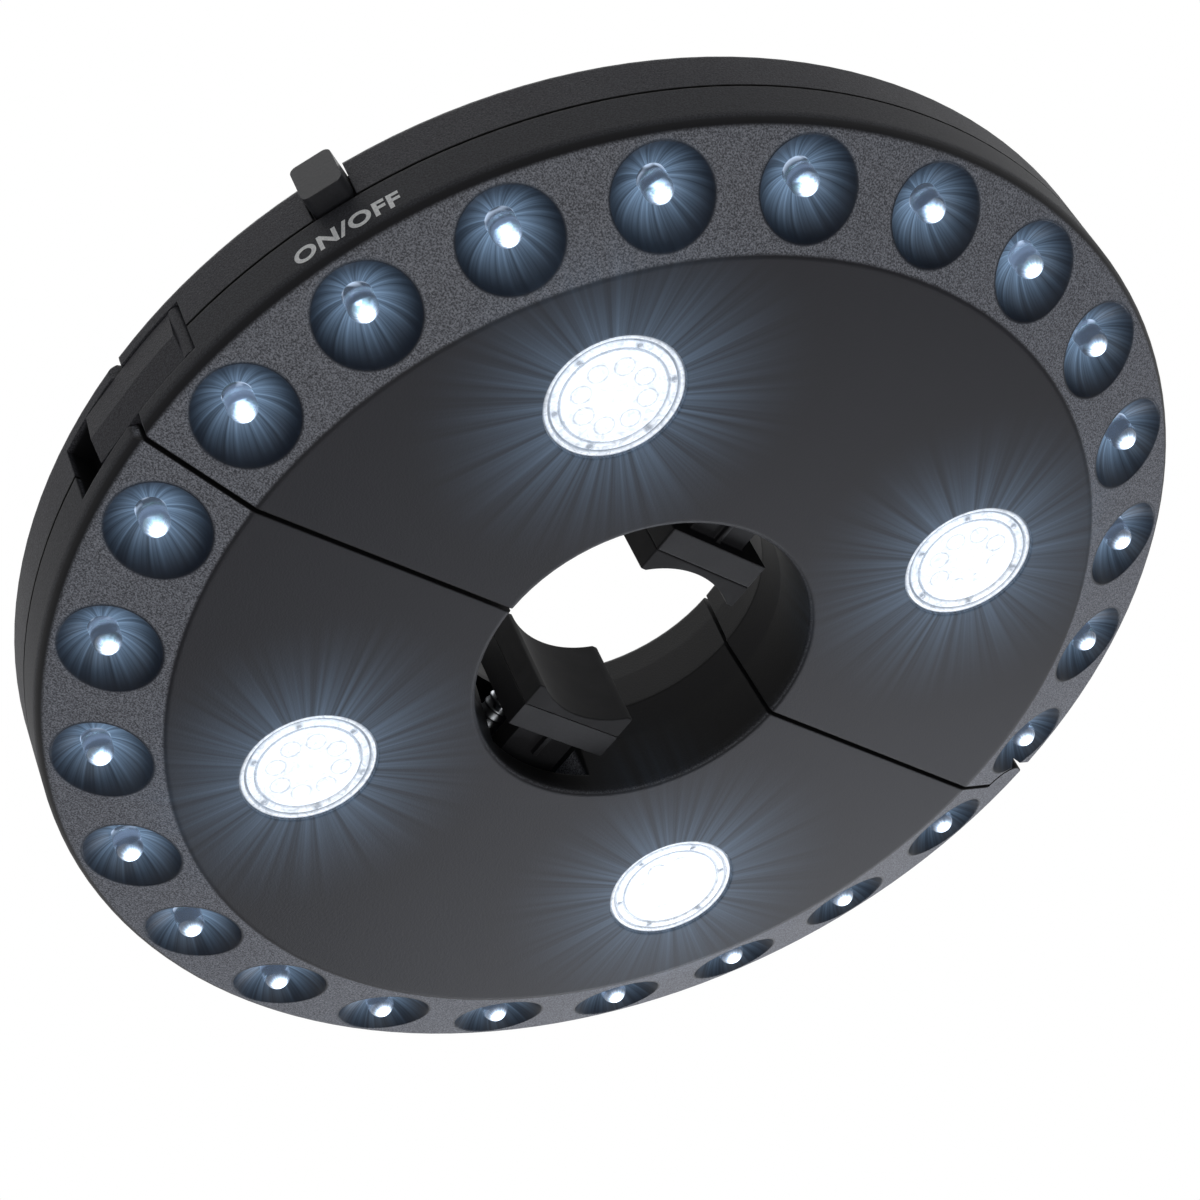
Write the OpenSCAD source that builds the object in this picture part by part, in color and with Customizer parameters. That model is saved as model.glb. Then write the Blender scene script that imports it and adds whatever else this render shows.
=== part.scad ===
// Clip-on ring light: two hinged half rings with a lit face below.
// +Z points to the back, the origin is on the ring's axis in the parting plane of the shells.
// Half B lies at +Y and swings, half A lies at -Y and carries the clasp and the button.

/* [Ring] */
// Outer diameter of the closed ring
body_d = 210; // [208:1:216]
// Thickness of the moulded walls
wall = 2; // [1.8:0.1:2.2]
// Parting plane to the flat of the lit face
face_depth = 18.7; // [18.5:0.1:19.6]
// Parting plane to the outer corner of the lit face
edge_depth = 9.8; // [9.4:0.1:10.2]
// Width of the sloping band with the small lights
band_w = 20; // [19.5:0.1:20.5]
// Parting plane to the outer corner of the back
rim_h = 9.1; // [8.9:0.1:9.5]
// Parting plane to the flat of the back
back_h = 14; // [13.8:0.1:15]
// Width of the sloping band on the back
back_band_w = 11; // [10:0.1:12]
// Gap between the two half rings
split_gap = 0.8; // [0.7:0.05:1]
// Groove between a front shell and its back shell
seam_gap = 0.4; // [0.3:0.05:0.6]

/* [Opening and grip] */
// Diameter of the opening in the lit face
mouth_d = 62.2; // [61:0.2:64]
// Diameter of the opening at the parting plane
throat_d = 58; // [57:0.2:59]
// Diameter of the opening in the back
back_mouth_d = 61; // [60:0.2:62]
// Diameter that the jaws hold at rest
grip_d = 35; // [34:0.5:36]
// Travel of each jaw, inward and outward alike
jaw_travel = 6.5; // [5:0.1:6.6]
// Width of a jaw
jaw_w = 22.4; // [21:0.1:23]
// Height of a jaw
jaw_h = 20; // [18:0.1:20.2]

/* [Small lights] */
// Small lights on each half
leds_per_half = 12; // [11:1:12]
// Distance of the small lights from the outer edge
led_inset = 10; // [9.8:0.1:10.2]
// Diameter of a small light
led_d = 5; // [4.8:0.1:5.2]
// Diameter of a crater where it opens
crater_d = 17.4; // [16.8:0.1:17.6]
// Depth of a crater
crater_depth = 5.5; // [5.2:0.1:5.6]

/* [Large lights] */
// Distance of a large light from the ring's axis
lamp_r = 61.3; // [60.5:0.1:62]
// Visible diameter of a lens
lens_d = 24.3; // [23:0.1:24.6]
// Height of a lens holder with its lens
lamp_h = 9.5; // [9:0.1:9.8]

/* [Battery bay] */
// Diameter of a cell
cell_d = 14.5; // [14.3:0.1:14.5]
// Length of a cell with its button
cell_l = 50.5; // [49.5:0.1:50.5]
// Room for the contact spring at the flat end of a cell
spring_room = 6.4; // [6:0.1:7]
// Room for the contact at the button of a cell
tip_room = 1.6; // [1.4:0.1:2]
// Thickness of a battery door
door_t = 1.9; // [1.8:0.1:2]

/* [Clasp] */
// Length of the clasp on half A
clasp_a_l = 15.4; // [15:0.1:16]
// Length of the clasp on half B
clasp_b_l = 9.5; // [9:0.1:10]
// Height of the clasp
clasp_h = 11.8; // [11:0.1:12]
// Length of the finger window past the clasp
window_l = 7.2; // [6:0.1:7.4]

/* [Button] */
// Where the button is, counted from the hinge
button_angle = 155; // [154:0.5:156]
// Width of the button
button_w = 7.3; // [6.6:0.1:7.4]
// How far the button stands out of the rim
button_out = 3.6; // [3:0.1:4]
// Travel of the button
button_travel = 1.2; // [0.6:0.1:1.2]

/* [Hinge] */
// Radius of the hinge knuckles
knuckle_r = 4.8; // [4.5:0.1:5]
// Radius of the hinge pin
hinge_pin_r = 1.5; // [1.2:0.1:1.6]

/* [Hanging hooks] */
// Length of a folded hook from its pin
hook_l = 30.5; // [29:0.1:31]
// Width of a hook
hook_w = 19.2; // [18:0.1:19.6]

/* [Hidden] */

// Facets of the round forms, clearances and the overrun of every cut
round_fn = 180;
small_fn = 48;
over = 1;
fit = 0.05;
slide_gap = 0.4;
part_gap = 0.3;
thin_wall = 1.5;

// Radii of the ring and its fillets
body_r = body_d / 2;
flat_r = body_r - band_w;
back_flat_r = body_r - back_band_w;
mouth_r = mouth_d / 2;
throat_r = throat_d / 2;
back_mouth_r = back_mouth_d / 2;
throat_step = 0.4;
mouth_edge_r = 1;
flat_edge_r = 2;
rim_edge_r = 3;
back_edge_r = 1.5;
tongue_t = 1.5;
tongue_h = 1.6;
tongue_from_y = 19;

// Slope of the two bands
slope = atan2(face_depth - edge_depth, band_w);
back_slope = atan2(back_h - rim_h, back_band_w);

// Hinge: B's knuckles are above and below A's
knuckle_out = 0.3;
knuckle_half = 3.6;
knuckle_gap = 0.4;
hinge_x = body_r - knuckle_r + knuckle_out;
seat_r = knuckle_r + knuckle_gap;
hinge_block_r = seat_r + wall;
notch_deeper = 2.2;
notch_x = hinge_x - notch_deeper;
notch_y = 6.2;
hinge_pin_low_z = -8.4;
hinge_pin_high_z = 8;

// Small lights: the bowl of a crater is part of a sphere square to the band
led_ring_r = body_r - led_inset;
led_r = led_d / 2;
led_dome_z = 12;
led_foot_out = 0.25;
led_foot_r = led_r + led_foot_out;
led_foot_t = 0.8;
crater_r = crater_d / 2;
bowl_r = (crater_r * crater_r + crater_depth * crater_depth) / (2 * crater_depth);
bowl_wall = 1.4;
bowl_lift = bowl_r - crater_depth;
band_z = -face_depth + (led_ring_r - flat_r) * tan(slope);
bowl_at = [led_ring_r + sin(slope) * bowl_lift, band_z - cos(slope) * bowl_lift];
board_t = 1.6;
board_z = 5.9;
ring_board_inside = 4;
ring_board_outside = 2.8;
ring_board_in = led_ring_r - ring_board_inside;
ring_board_out = led_ring_r + ring_board_outside;
ring_board_end = 0.8;
ring_board_from_y = notch_y + wall + ring_board_end;
board_post_r = 2;

// Large lights
lens_r = lens_d / 2;
lens_gap = 0.2;
lamp_angles = [45, 135];
lens_flange_w = 1;
lens_flange_r = lens_r + lens_flange_w;
barrel_r = lens_flange_r + part_gap;
lip_t = 1.2;
lens_flange_t = 1.3;
lens_sink = 0.4;
lens_dome_h = 0.3;
lamp_seat_z = -face_depth + lip_t + lamp_h;
optic_r = 10;
optic_tip_r = 4;
optic_h = 5.8;
emitter_r = 3.4;
emitter_t = 2;
emitter_dome_r = 1.9;

// Case screws
screw_r = 1.45;
screw_head_r = 2.8;
screw_head_t = 2;
screw_slot_t = 0.7;
screw_slot_share = 0.7;
screw_depth = 9;
screw_seat_z = 4;
boss_r = 3.2;
post_r = 4.6;
rim_boss_in = 22;
rim_boss_angles = [15, 45, 135, 165];
rim_boss_r = body_r - rim_boss_in;
inner_boss_out = 14.4;
inner_boss_angles = [61, 119];
inner_boss_r = throat_r + inner_boss_out;
boss_places = concat([for (a = rim_boss_angles) rim_boss_r * [cos(a), sin(a)]],
  [for (a = inner_boss_angles) inner_boss_r * [cos(a), sin(a)]]);

// Jaws, their pocket and springs, measured from the ring's axis
pad_t = 1.5;
pad_wrap = 3.1;
jaw_t = 5;
pad_seat_y = grip_d / 2 + pad_t;
pad_front_y = grip_d / 2 - pad_wrap;
jaw_back_y = pad_seat_y + jaw_t;
jaw_z = -14;
spring_least = 1;
pocket_end_y = jaw_back_y + 2 * jaw_travel + spring_least;
stem_w = 12.8;
stem_t = 4;
stem_z = -11.5;
stem_stop_y = pocket_end_y + thin_wall + jaw_travel + part_gap;
stem_stop_t = 2;
stem_stop_w = 18;
stem_rib_l = 5.5;
stem_rib_t = 1;
jaw_spring_r = 2.6;
jaw_spring_wire = 0.7;
jaw_spring_curls = 8;
jaw_spring_x = 4.4;
jaw_spring_z = -1.6;

// Battery bay
bay_clear = 10.4;
bay_y = pocket_end_y + thin_wall + bay_clear;
bay_floor_z = -3.4;
cell_gap = 0.6;
bay_l = cell_l + spring_room + tip_room;
bay_w = 2 * cell_d + 4 * cell_gap;
cell_z = bay_floor_z + cell_gap / 2 + cell_d / 2;
cell_ys = [bay_y + 1.5 * cell_gap + cell_d / 2, bay_y + 2.5 * cell_gap + 1.5 * cell_d];
plate_t = 0.4;
cell_tip_r = 2.75;
cell_low = spring_room - bay_l / 2;
contact_len = spring_room - plate_t;
cell_tip_h = 1;
plate_w = 11;
plate_h = 12;
contact_wire = 0.7;
contact_curls = 3;
contact_big_r = 4.2;
contact_small_r = 2.7;
door_ledge = 3;
door_round_r = 4;
door_ear_r = 4.4;
door_ear_out = 0.7;
door_screw_r = 2.65;
door_screw_t = 1.3;
door_screw_l = 6.7;
door_lip_t = 1.2;
door_groove_w = 1.2;
door_groove_l = 22;
door_grooves = 6;
door_seat_z = back_h - door_t;
ledge_t = 1.6;
bay_center_y = bay_y + bay_w / 2;
door_ear_y = bay_y + bay_w + door_ledge + door_ear_out;

// Clasp, its pocket and window
clasp_t = 3.4;
clasp_ridge = 0.25;
clasp_z = 0.2;
clasp_knuckle_r = 1.6;
clasp_pin_r = 0.8;
clasp_pocket_r = body_r - clasp_t - slide_gap;
window_deeper = 1.6;
window_r = clasp_pocket_r - window_deeper;
clasp_side_gap = 0.35;
clasp_root = 0.6;
clasp_pivot_r = body_r - clasp_knuckle_r;
clasp_pivot_y = clasp_a_l - clasp_knuckle_r;
clasp_pivot_x = -sqrt(clasp_pivot_r * clasp_pivot_r - clasp_pivot_y * clasp_pivot_y);
tooth_t = 1.6;
tooth_l = 1.6;
tooth_h = 8;
tooth_gap = 0.4;
catch_y = clasp_b_l - tooth_t - tooth_gap;
pocket_low_z = clasp_z - clasp_h / 2 - clasp_side_gap;
pocket_high_z = clasp_z + clasp_h / 2 + clasp_side_gap;
clasp_wall = 1.4;
rim_chamfer = 1.2;

// Button and switch, measured outward along the button's own line
button_gap = 0.35;
button_round_r = 1.2;
button_z = 0.5;
button_flange_t = 1.3;
button_flange_out = 1.35;
button_flange_w = button_w + 2 * button_flange_out;
button_flange_h = 6.1;
button_stem_w = 4;
button_stem_l = thin_wall + 2 * slide_gap - part_gap;
button_seat_r = sqrt((body_r - wall) * (body_r - wall) - button_flange_w * button_flange_w / 4) - part_gap;
button_back_r = button_seat_r - button_flange_t;
button_head_r = button_seat_r - button_flange_t / 2;
button_pocket_r = button_back_r - button_travel - slide_gap;
button_wall_r = button_pocket_r - thin_wall;
plunger_r = 1.5;
plunger_bite = 1;
plunger_l = button_travel + part_gap + plunger_bite;
switch_w = 6;
switch_out_r = button_wall_r - slide_gap;
switch_l = 4;
switch_in_r = switch_out_r - switch_l;
switch_board_w = 12;
switch_board_h = 11.3;
button_mid_z = button_z + button_flange_h / 2;

// Hanging hooks in their trays
hook_pin_x = 39.5;
hook_y = 18;
hook_pin_r = 1.2;
hook_barrel_r = 2.3;
hook_barrel_w = 9;
hook_t = 3.6;
hook_bar_w = 3.4;
hook_shank_w = 5.2;
hook_sink = 2.7;
hook_z = back_h - hook_sink;
tray_gap = 1.4;
tray_end = 4.5;
tray_w = hook_w + 2 * tray_gap;
tray_floor_z = hook_z - hook_barrel_r - part_gap;
pin_bite = 1;
tray_round_r = 3;

// Round off corner b of the path a, b, c with radius r
function unit(v) = v / norm(v);
function turn(d) = ((d + 540) % 360) - 180;
function corner(a, b, c, r, n = 6) =
  let (u = unit(a - b), v = unit(c - b), half = acos(u * v) / 2)
  let (o = b + unit(u + v) * r / sin(half), p = b + u * r / tan(half), q = b + v * r / tan(half))
  let (a0 = atan2(p[1] - o[1], p[0] - o[0]), a1 = atan2(q[1] - o[1], q[0] - o[0]))
  [for (i = [0:n]) o + r * [cos(a0 + turn(a1 - a0) * i / n), sin(a0 + turn(a1 - a0) * i / n)]];
function rounded_box(w, h, r) =
  let (c = [[-w / 2, -h / 2], [w / 2, -h / 2], [w / 2, h / 2], [-w / 2, h / 2]])
  [for (i = [0:3]) each corner(c[(i + 3) % 4], c[i], c[(i + 1) % 4], r, 5)];

// Section of the front and back shells: outside path, inside path and a path inside the wall
function front_out() = concat([[throat_r, 0]],
  corner([throat_r, 0], [mouth_r, -face_depth], [flat_r, -face_depth], mouth_edge_r),
  corner([mouth_r, -face_depth], [flat_r, -face_depth], [body_r, -edge_depth], flat_edge_r),
  corner([flat_r, -face_depth], [body_r, -edge_depth], [body_r, 0], rim_edge_r),
  [[body_r, -seam_gap]]);
function front_in(t) = let (lift = t / cos(slope))
  [[body_r - t, -seam_gap], [body_r - t, lift - edge_depth - t * tan(slope)],
   [flat_r + (t - lift) / tan(slope), t - face_depth], [mouth_r + t, t - face_depth], [throat_r + t, 0]];
function back_out() = concat([[throat_r + throat_step, 0]],
  corner([throat_r + throat_step, 0], [back_mouth_r, back_h], [back_flat_r, back_h], mouth_edge_r),
  corner([back_mouth_r, back_h], [back_flat_r, back_h], [body_r, rim_h], flat_edge_r),
  corner([back_flat_r, back_h], [body_r, rim_h], [body_r, 0], back_edge_r), [[body_r, 0]]);
function back_in(t) = let (drop = t / cos(back_slope))
  [[body_r - t, 0], [body_r - t, rim_h - drop + t * tan(back_slope)],
   [back_flat_r - (drop - t) / tan(back_slope), back_h - t], [back_mouth_r + t, back_h - t],
   [throat_r + throat_step + t, 0]];

module spun(points) { rotate_extrude($fn = round_fn) polygon(points); }
module disc(r, z0, z1, n = small_fn) { translate([0, 0, z0]) cylinder(r = r, h = z1 - z0, $fn = n); }
module block(x0, x1, y0, y1, z0, z1) { translate([x0, y0, z0]) cube([x1 - x0, y1 - y0, z1 - z0]); }
module at_lamps() { for (a = lamp_angles) translate([lamp_r * cos(a), lamp_r * sin(a), 0]) children(); }
module at_bosses() { for (p = boss_places) translate([p[0], p[1], 0]) children(); }
module at_leds(r, z) {
  for (i = [0:leds_per_half - 1])
    rotate([0, 0, (i + 1 / 2) * 180 / leds_per_half]) translate([r, 0, z]) children();
}
module at_hinge() { translate([hinge_x, 0, 0]) children(); }
module at_button() { rotate([0, 0, button_angle]) children(); }
module on_a() { mirror([0, 1, 0]) children(); }
module half_box() {
  block(-body_r - over, body_r + over, split_gap / 2, body_r + over, -face_depth - over, back_h + over);
}

// One unbroken wire coil along +Z: straight ends, then 8 rings a curl with 6 sides
function coil_turn(i, curls) = i <= 1 ? 0 : i >= 8 * curls + 1 ? 360 * curls : 45 * (i - 1);
function coil_point(i, r0, r1, len, curls, wire) =
  let (n = 8 * curls, k = min(max(i - 1, 0), n) / n, r = r0 + (r1 - r0) * k, a = coil_turn(i, curls))
  [r * cos(a), r * sin(a), i == 0 ? 0 : i == n + 2 ? len : wire + (len - 2 * wire) * k];
function coil_path(r0, r1, len, curls, wire) =
  [for (i = [0:8 * curls + 2]) coil_point(i, r0, r1, len, curls, wire)];
function coil_ring(p, i, wire, curls) =
  let (last = len(p) - 1, t = unit(p[min(i + 1, last)] - p[max(i - 1, 0)]))
  let (a = coil_turn(i, curls), out = unit(cross(cross(t, [cos(a), sin(a), 0]), t)), side = cross(t, out))
  [for (j = [0:5]) p[i] + wire / 2 * (cos(60 * j) * out + sin(60 * j) * side)];
function least_gap(p, wire, curls) =
  min([for (i = [0:len(p) - 1]) for (j = [i + 6:1:min(i + 10, len(p) - 1)]) norm(p[i] - p[j])]) - wire;
module coil(r0, r1, len, curls, wire) {
  path = coil_path(r0, r1, len, curls, wire);
  rings = [for (i = [0:len(path) - 1]) each coil_ring(path, i, wire, curls)];
  last = 6 * (len(path) - 1);
  walls = [for (i = [0:len(path) - 2]) for (j = [0:5]) let (a = 6 * i + j, b = 6 * i + (j + 1) % 6)
    each [[a, a + 6, b], [b, a + 6, b + 6]]];
  ends = [for (j = [1:4]) each [[0, j, j + 1], [last, last + j + 1, last + j]]];
  polyhedron(points = rings, faces = concat(walls, ends));
}

// Front shell
module front_features() {
  block(-body_r, body_r, -over, split_gap / 2 + wall, -face_depth, 0);
  at_leds(bowl_at[0], bowl_at[1]) sphere(r = bowl_r + bowl_wall, $fn = small_fn);
  for (i = [1:2:leds_per_half - 1])
    rotate([0, 0, i * 180 / leds_per_half]) translate([led_ring_r - part_gap, 0, 0])
      disc(board_post_r, -face_depth, -board_z);
  at_lamps() disc(barrel_r + thin_wall, -face_depth, lamp_seat_z);
  at_bosses() disc(boss_r, -face_depth, 0);
  block(-jaw_w / 2 - slide_gap - thin_wall, jaw_w / 2 + slide_gap + thin_wall, 0, pocket_end_y + thin_wall,
    -face_depth, 0);
}
module front_cuts() {
  at_leds(bowl_at[0], bowl_at[1]) sphere(r = bowl_r, $fn = small_fn);
  at_leds(led_ring_r, 0) disc(led_r + fit, bowl_at[1], -board_z);
  at_lamps() {
    disc(lens_r + lens_gap, -face_depth - over, 0);
    disc(barrel_r, lip_t - face_depth, lamp_seat_z + over);
  }
  at_bosses() disc(screw_r + fit, -screw_depth - over, over);
  block(-jaw_w / 2 - slide_gap, jaw_w / 2 + slide_gap, 0, pocket_end_y, jaw_z - slide_gap, over);
  block(-stem_w / 2 - part_gap, stem_w / 2 + part_gap, 0, pocket_end_y + thin_wall + over,
    stem_z - part_gap, over);
}
module tongue() {
  intersection() {
    spun([[body_r - wall - tongue_t, -2 * tongue_h], [body_r - wall / 2, -2 * tongue_h],
      [body_r - wall / 2, -seam_gap], [body_r - wall - fit, -seam_gap], [body_r - wall - fit, tongue_h],
      [body_r - wall - tongue_t, tongue_h]]);
    block(-body_r, body_r, tongue_from_y, body_r, -face_depth, back_h);
  }
}
module front_skin() { spun(concat(front_out(), front_in(wall))); }
module front_core() { spun(concat([[body_r - wall / 2, 0]], front_in(wall / 2))); }

// Clasp pocket: the block that surrounds it and the room inside, for the half named
module clasp_block(side) {
  far_y = side == "a" ? clasp_a_l + clasp_side_gap + clasp_wall : clasp_b_l + window_l + clasp_wall;
  difference() {
    block(-body_r, -body_r / 2, -over, far_y, pocket_low_z - clasp_wall, pocket_high_z + clasp_wall);
    disc(clasp_pocket_r - clasp_wall, -face_depth, back_h, round_fn);
  }
  if (side == "b") difference() {
    block(-body_r, -body_r / 2, catch_y - clasp_wall, far_y,
      pocket_low_z - clasp_wall, pocket_high_z + clasp_wall);
    disc(window_r - clasp_wall, -face_depth, back_h, round_fn);
  }
}
module clasp_room(side) {
  far_y = side == "a" ? clasp_a_l + clasp_side_gap : catch_y + over;
  difference() {
    block(-body_r - over, -body_r / 2, -over, far_y, pocket_low_z, pocket_high_z);
    disc(clasp_pocket_r, -face_depth, back_h, round_fn);
  }
  if (side == "b") difference() {
    block(-body_r - over, -body_r / 2, catch_y, clasp_b_l + window_l, pocket_low_z, pocket_high_z);
    disc(window_r, -face_depth, back_h, round_fn);
  }
  if (side == "a") translate([clasp_pivot_x, clasp_pivot_y, 0])
    disc(clasp_pin_r + fit, pocket_low_z - clasp_wall + part_gap, pocket_high_z + clasp_wall - part_gap);
  translate([rim_chamfer - body_r, split_gap / 2, 0]) rotate([0, 0, 45])
    block(-3 * rim_chamfer, 0, -3 * rim_chamfer, 3 * rim_chamfer, -face_depth - over, back_h + over);
}

// Hinge: what each half keeps and gives up near the pin
module hinge_block(side) {
  at_hinge() disc(hinge_block_r, -face_depth, back_h);
  if (side == "a") block(hinge_x - hinge_block_r, body_r, -over, notch_y + wall, -face_depth, back_h);
}
module hinge_seat(side) {
  at_hinge() {
    if (side == "b") disc(seat_r, -knuckle_half - knuckle_gap, knuckle_half + knuckle_gap);
    else {
      disc(seat_r, -face_depth - over, -knuckle_half);
      disc(seat_r, knuckle_half, back_h + over);
    }
  }
  if (side == "a") {
    block(notch_x, body_r + over, -over, notch_y, -face_depth - over, -knuckle_half);
    block(notch_x, body_r + over, -over, notch_y, knuckle_half, back_h + over);
    block(hinge_x, body_r + over, -over, notch_y, -knuckle_half - over, knuckle_half + over);
  }
}
module hinge_knuckle(side) {
  at_hinge() {
    if (side == "a") disc(knuckle_r, -knuckle_half, knuckle_half);
    else {
      disc(knuckle_r, -face_depth - over, -knuckle_half - knuckle_gap);
      disc(knuckle_r, knuckle_half + knuckle_gap, back_h + over);
    }
  }
}
module hinge_bore() {
  at_hinge() disc(hinge_pin_r + fit, hinge_pin_low_z - part_gap, hinge_pin_high_z + part_gap);
}
module half_keep(side) {
  difference() { half_box(); hinge_seat(side); }
  hinge_knuckle(side);
}

// Room for the button in the wall of half A
module button_floor() {
  at_button() block(button_wall_r, body_r - wall / 2, -button_flange_w / 2 - 2 * slide_gap - thin_wall,
    button_flange_w / 2 + 2 * slide_gap + thin_wall, -wall, -seam_gap);
}
module button_clear() {
  at_button() block(button_wall_r - over, body_r + over, -button_flange_w / 2 - 2 * slide_gap - thin_wall,
    button_flange_w / 2 + 2 * slide_gap + thin_wall, -seam_gap, over + tongue_h);
}
module button_walls() {
  at_button() block(button_wall_r, body_r - wall / 2, -button_flange_w / 2 - slide_gap - thin_wall,
    button_flange_w / 2 + slide_gap + thin_wall, 0, button_z + button_flange_h + slide_gap + thin_wall);
}
module button_room() {
  at_button() {
    block(button_pocket_r, body_r - wall, -button_flange_w / 2 - slide_gap, button_flange_w / 2 + slide_gap,
      -over, button_z + button_flange_h + slide_gap);
    block(button_head_r - button_travel - slide_gap, body_r + over, -button_w / 2 - button_gap,
      button_w / 2 + button_gap, -over, back_h + over);
    block(button_wall_r - over, button_pocket_r + over, -button_stem_w / 2 - part_gap,
      button_stem_w / 2 + part_gap, button_mid_z - button_stem_w / 2 - part_gap,
      button_mid_z + button_stem_w / 2 + part_gap);
  }
}

module front_shell(side) {
  color("#2f3034") difference() {
    intersection() {
      union() {
        front_skin();
        intersection() {
          union() { front_features(); hinge_block(side); clasp_block(side); if (side == "a") button_floor(); }
          front_core();
        }
        tongue();
      }
      half_keep(side);
    }
    front_cuts();
    clasp_room(side);
    hinge_bore();
    if (side == "a") button_clear();
  }
}

// Back shell
module back_skin() { spun(concat(back_out(), back_in(wall))); }
module back_core() { spun(back_in(wall / 2)); }
module door_plan(grow) {
  translate([0, bay_center_y]) polygon(rounded_box(bay_l + 2 * door_ledge + 2 * grow,
    bay_w + 2 * door_ledge + 2 * grow, door_round_r + grow));
  translate([0, door_ear_y]) circle(r = door_ear_r + grow, $fn = small_fn);
}
module tray_room(side) {
  x0 = hook_pin_x - tray_end;
  x1 = hook_pin_x + hook_l + tray_gap;
  at = [(x0 + x1) / 2 * (side == "b" ? 1 : -1), hook_y, tray_floor_z];
  translate(at) linear_extrude(back_h) polygon(rounded_box(x1 - x0, tray_w, tray_round_r));
}
module tray_block(side) {
  x0 = hook_pin_x - tray_end - thin_wall;
  x1 = hook_pin_x + hook_l + tray_gap + thin_wall;
  half_w = tray_w / 2 + thin_wall;
  mirror([side == "b" ? 0 : 1, 0, 0])
    block(x0, x1, hook_y - half_w, hook_y + half_w, tray_floor_z - thin_wall, back_h - wall / 2);
}
module hook_axis(side) {
  translate([side == "b" ? hook_pin_x : -hook_pin_x, hook_y, hook_z]) rotate([90, 0, 0]) children();
}
module back_features(side) {
  block(-body_r, body_r, -over, split_gap / 2 + wall, 0, back_h);
  at_bosses() disc(post_r, 0, back_h - wall / 2);
  block(-jaw_w / 2 - slide_gap - thin_wall, jaw_w / 2 + slide_gap + thin_wall, 0, pocket_end_y + thin_wall,
    0, jaw_z + jaw_h + slide_gap + thin_wall);
  translate([0, 0, door_seat_z - ledge_t])
    linear_extrude(ledge_t + wall / 2 - part_gap) door_plan(thin_wall + part_gap);
  translate([0, door_ear_y, 0]) disc(boss_r, screw_seat_z, door_seat_z);
  tray_block(side);
}
module bay_tub() {
  block(-bay_l / 2 - thin_wall, bay_l / 2 + thin_wall, bay_y - thin_wall, bay_y + bay_w + thin_wall,
    bay_floor_z - thin_wall, back_h - wall / 2);
}
module back_cuts(side) {
  at_bosses() {
    disc(screw_head_r + part_gap, screw_seat_z, back_h + over);
    disc(screw_r + fit, -over, back_h);
  }
  block(-jaw_w / 2 - slide_gap, jaw_w / 2 + slide_gap, 0, pocket_end_y, -over, jaw_z + jaw_h + slide_gap);
  block(-bay_l / 2, bay_l / 2, bay_y, bay_y + bay_w, bay_floor_z, back_h + over);
  translate([0, 0, door_seat_z]) linear_extrude(back_h) door_plan(part_gap);
  translate([0, door_ear_y, 0]) disc(screw_r + fit, screw_seat_z + over, back_h);
  tray_room(side);
  hook_axis(side) disc(hook_pin_r + fit, -tray_w / 2 - pin_bite - fit, tray_w / 2 + pin_bite + fit);
}
module back_shell(side) {
  color("#2a2b2f") difference() {
    intersection() {
      union() {
        back_skin();
        intersection() {
          union() {
            back_features(side);
            hinge_block(side);
            clasp_block(side);
            if (side == "a") button_walls();
          }
          back_core();
        }
        bay_tub();
      }
      half_keep(side);
    }
    back_cuts(side);
    clasp_room(side);
    hinge_bore();
    if (side == "a") button_room();
  }
}

// Fasteners
module cross_screw(r, head_r, head_t, z_head, z_tip) {
  difference() {
    union() { disc(r, z_tip, z_head + head_t / 2); disc(head_r, z_head, z_head + head_t); }
    for (a = [0, 90]) rotate([0, 0, a])
      block(-head_r * screw_slot_share, head_r * screw_slot_share, -screw_slot_t / 2, screw_slot_t / 2,
        z_head + head_t / 2, z_head + head_t + over);
  }
}
module case_screws() {
  color("#b9bcc0") at_bosses() cross_screw(screw_r, screw_head_r, screw_head_t, screw_seat_z, -screw_depth);
}
module door_screw() {
  color("#b9bcc0") translate([0, door_ear_y, 0])
    cross_screw(screw_r, door_screw_r, door_screw_t,
      back_h - door_screw_t, back_h - door_screw_t - door_screw_l);
}

// Large lights
function lens_front() = -face_depth + lens_sink;
module lens_one() {
  top = lip_t - face_depth + lens_flange_t;
  difference() {
    rotate_extrude($fn = round_fn) polygon(concat([[0, lens_front()], [optic_r, lens_front()]],
      corner([optic_r, lens_front()], [lens_r, lens_front() + lens_dome_h],
        [lens_r, lip_t - face_depth], lens_dome_h),
      [[lens_r, lip_t - face_depth], [lens_flange_r, lip_t - face_depth], [lens_flange_r, top],
       [optic_r, top], [optic_tip_r, top + optic_h], [0, top + optic_h]]));
    disc(emitter_dome_r + slide_gap, top + optic_h / 2, top + optic_h + over);
  }
}
module lenses() { color("#eef4fb") at_lamps() lens_one(); }
module lens_holders() {
  low = lip_t - face_depth + lens_flange_t;
  color("#e8eaec") at_lamps() rotate_extrude($fn = round_fn) polygon([
    [optic_r + slide_gap, low], [lens_flange_r, low], [lens_flange_r, lamp_seat_z],
    [optic_tip_r + slide_gap, lamp_seat_z], [optic_tip_r + slide_gap, low + optic_h]]);
}
module lamp_boards() {
  color("#e9ebe6") at_lamps()
    disc(barrel_r + thin_wall - part_gap, lamp_seat_z, lamp_seat_z + board_t, round_fn);
}
module lamp_emitters() {
  color("#f4e38a") at_lamps() {
    disc(emitter_r, lamp_seat_z - emitter_t, lamp_seat_z);
    translate([0, 0, lamp_seat_z - emitter_t]) sphere(r = emitter_dome_r, $fn = small_fn);
  }
}

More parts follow.
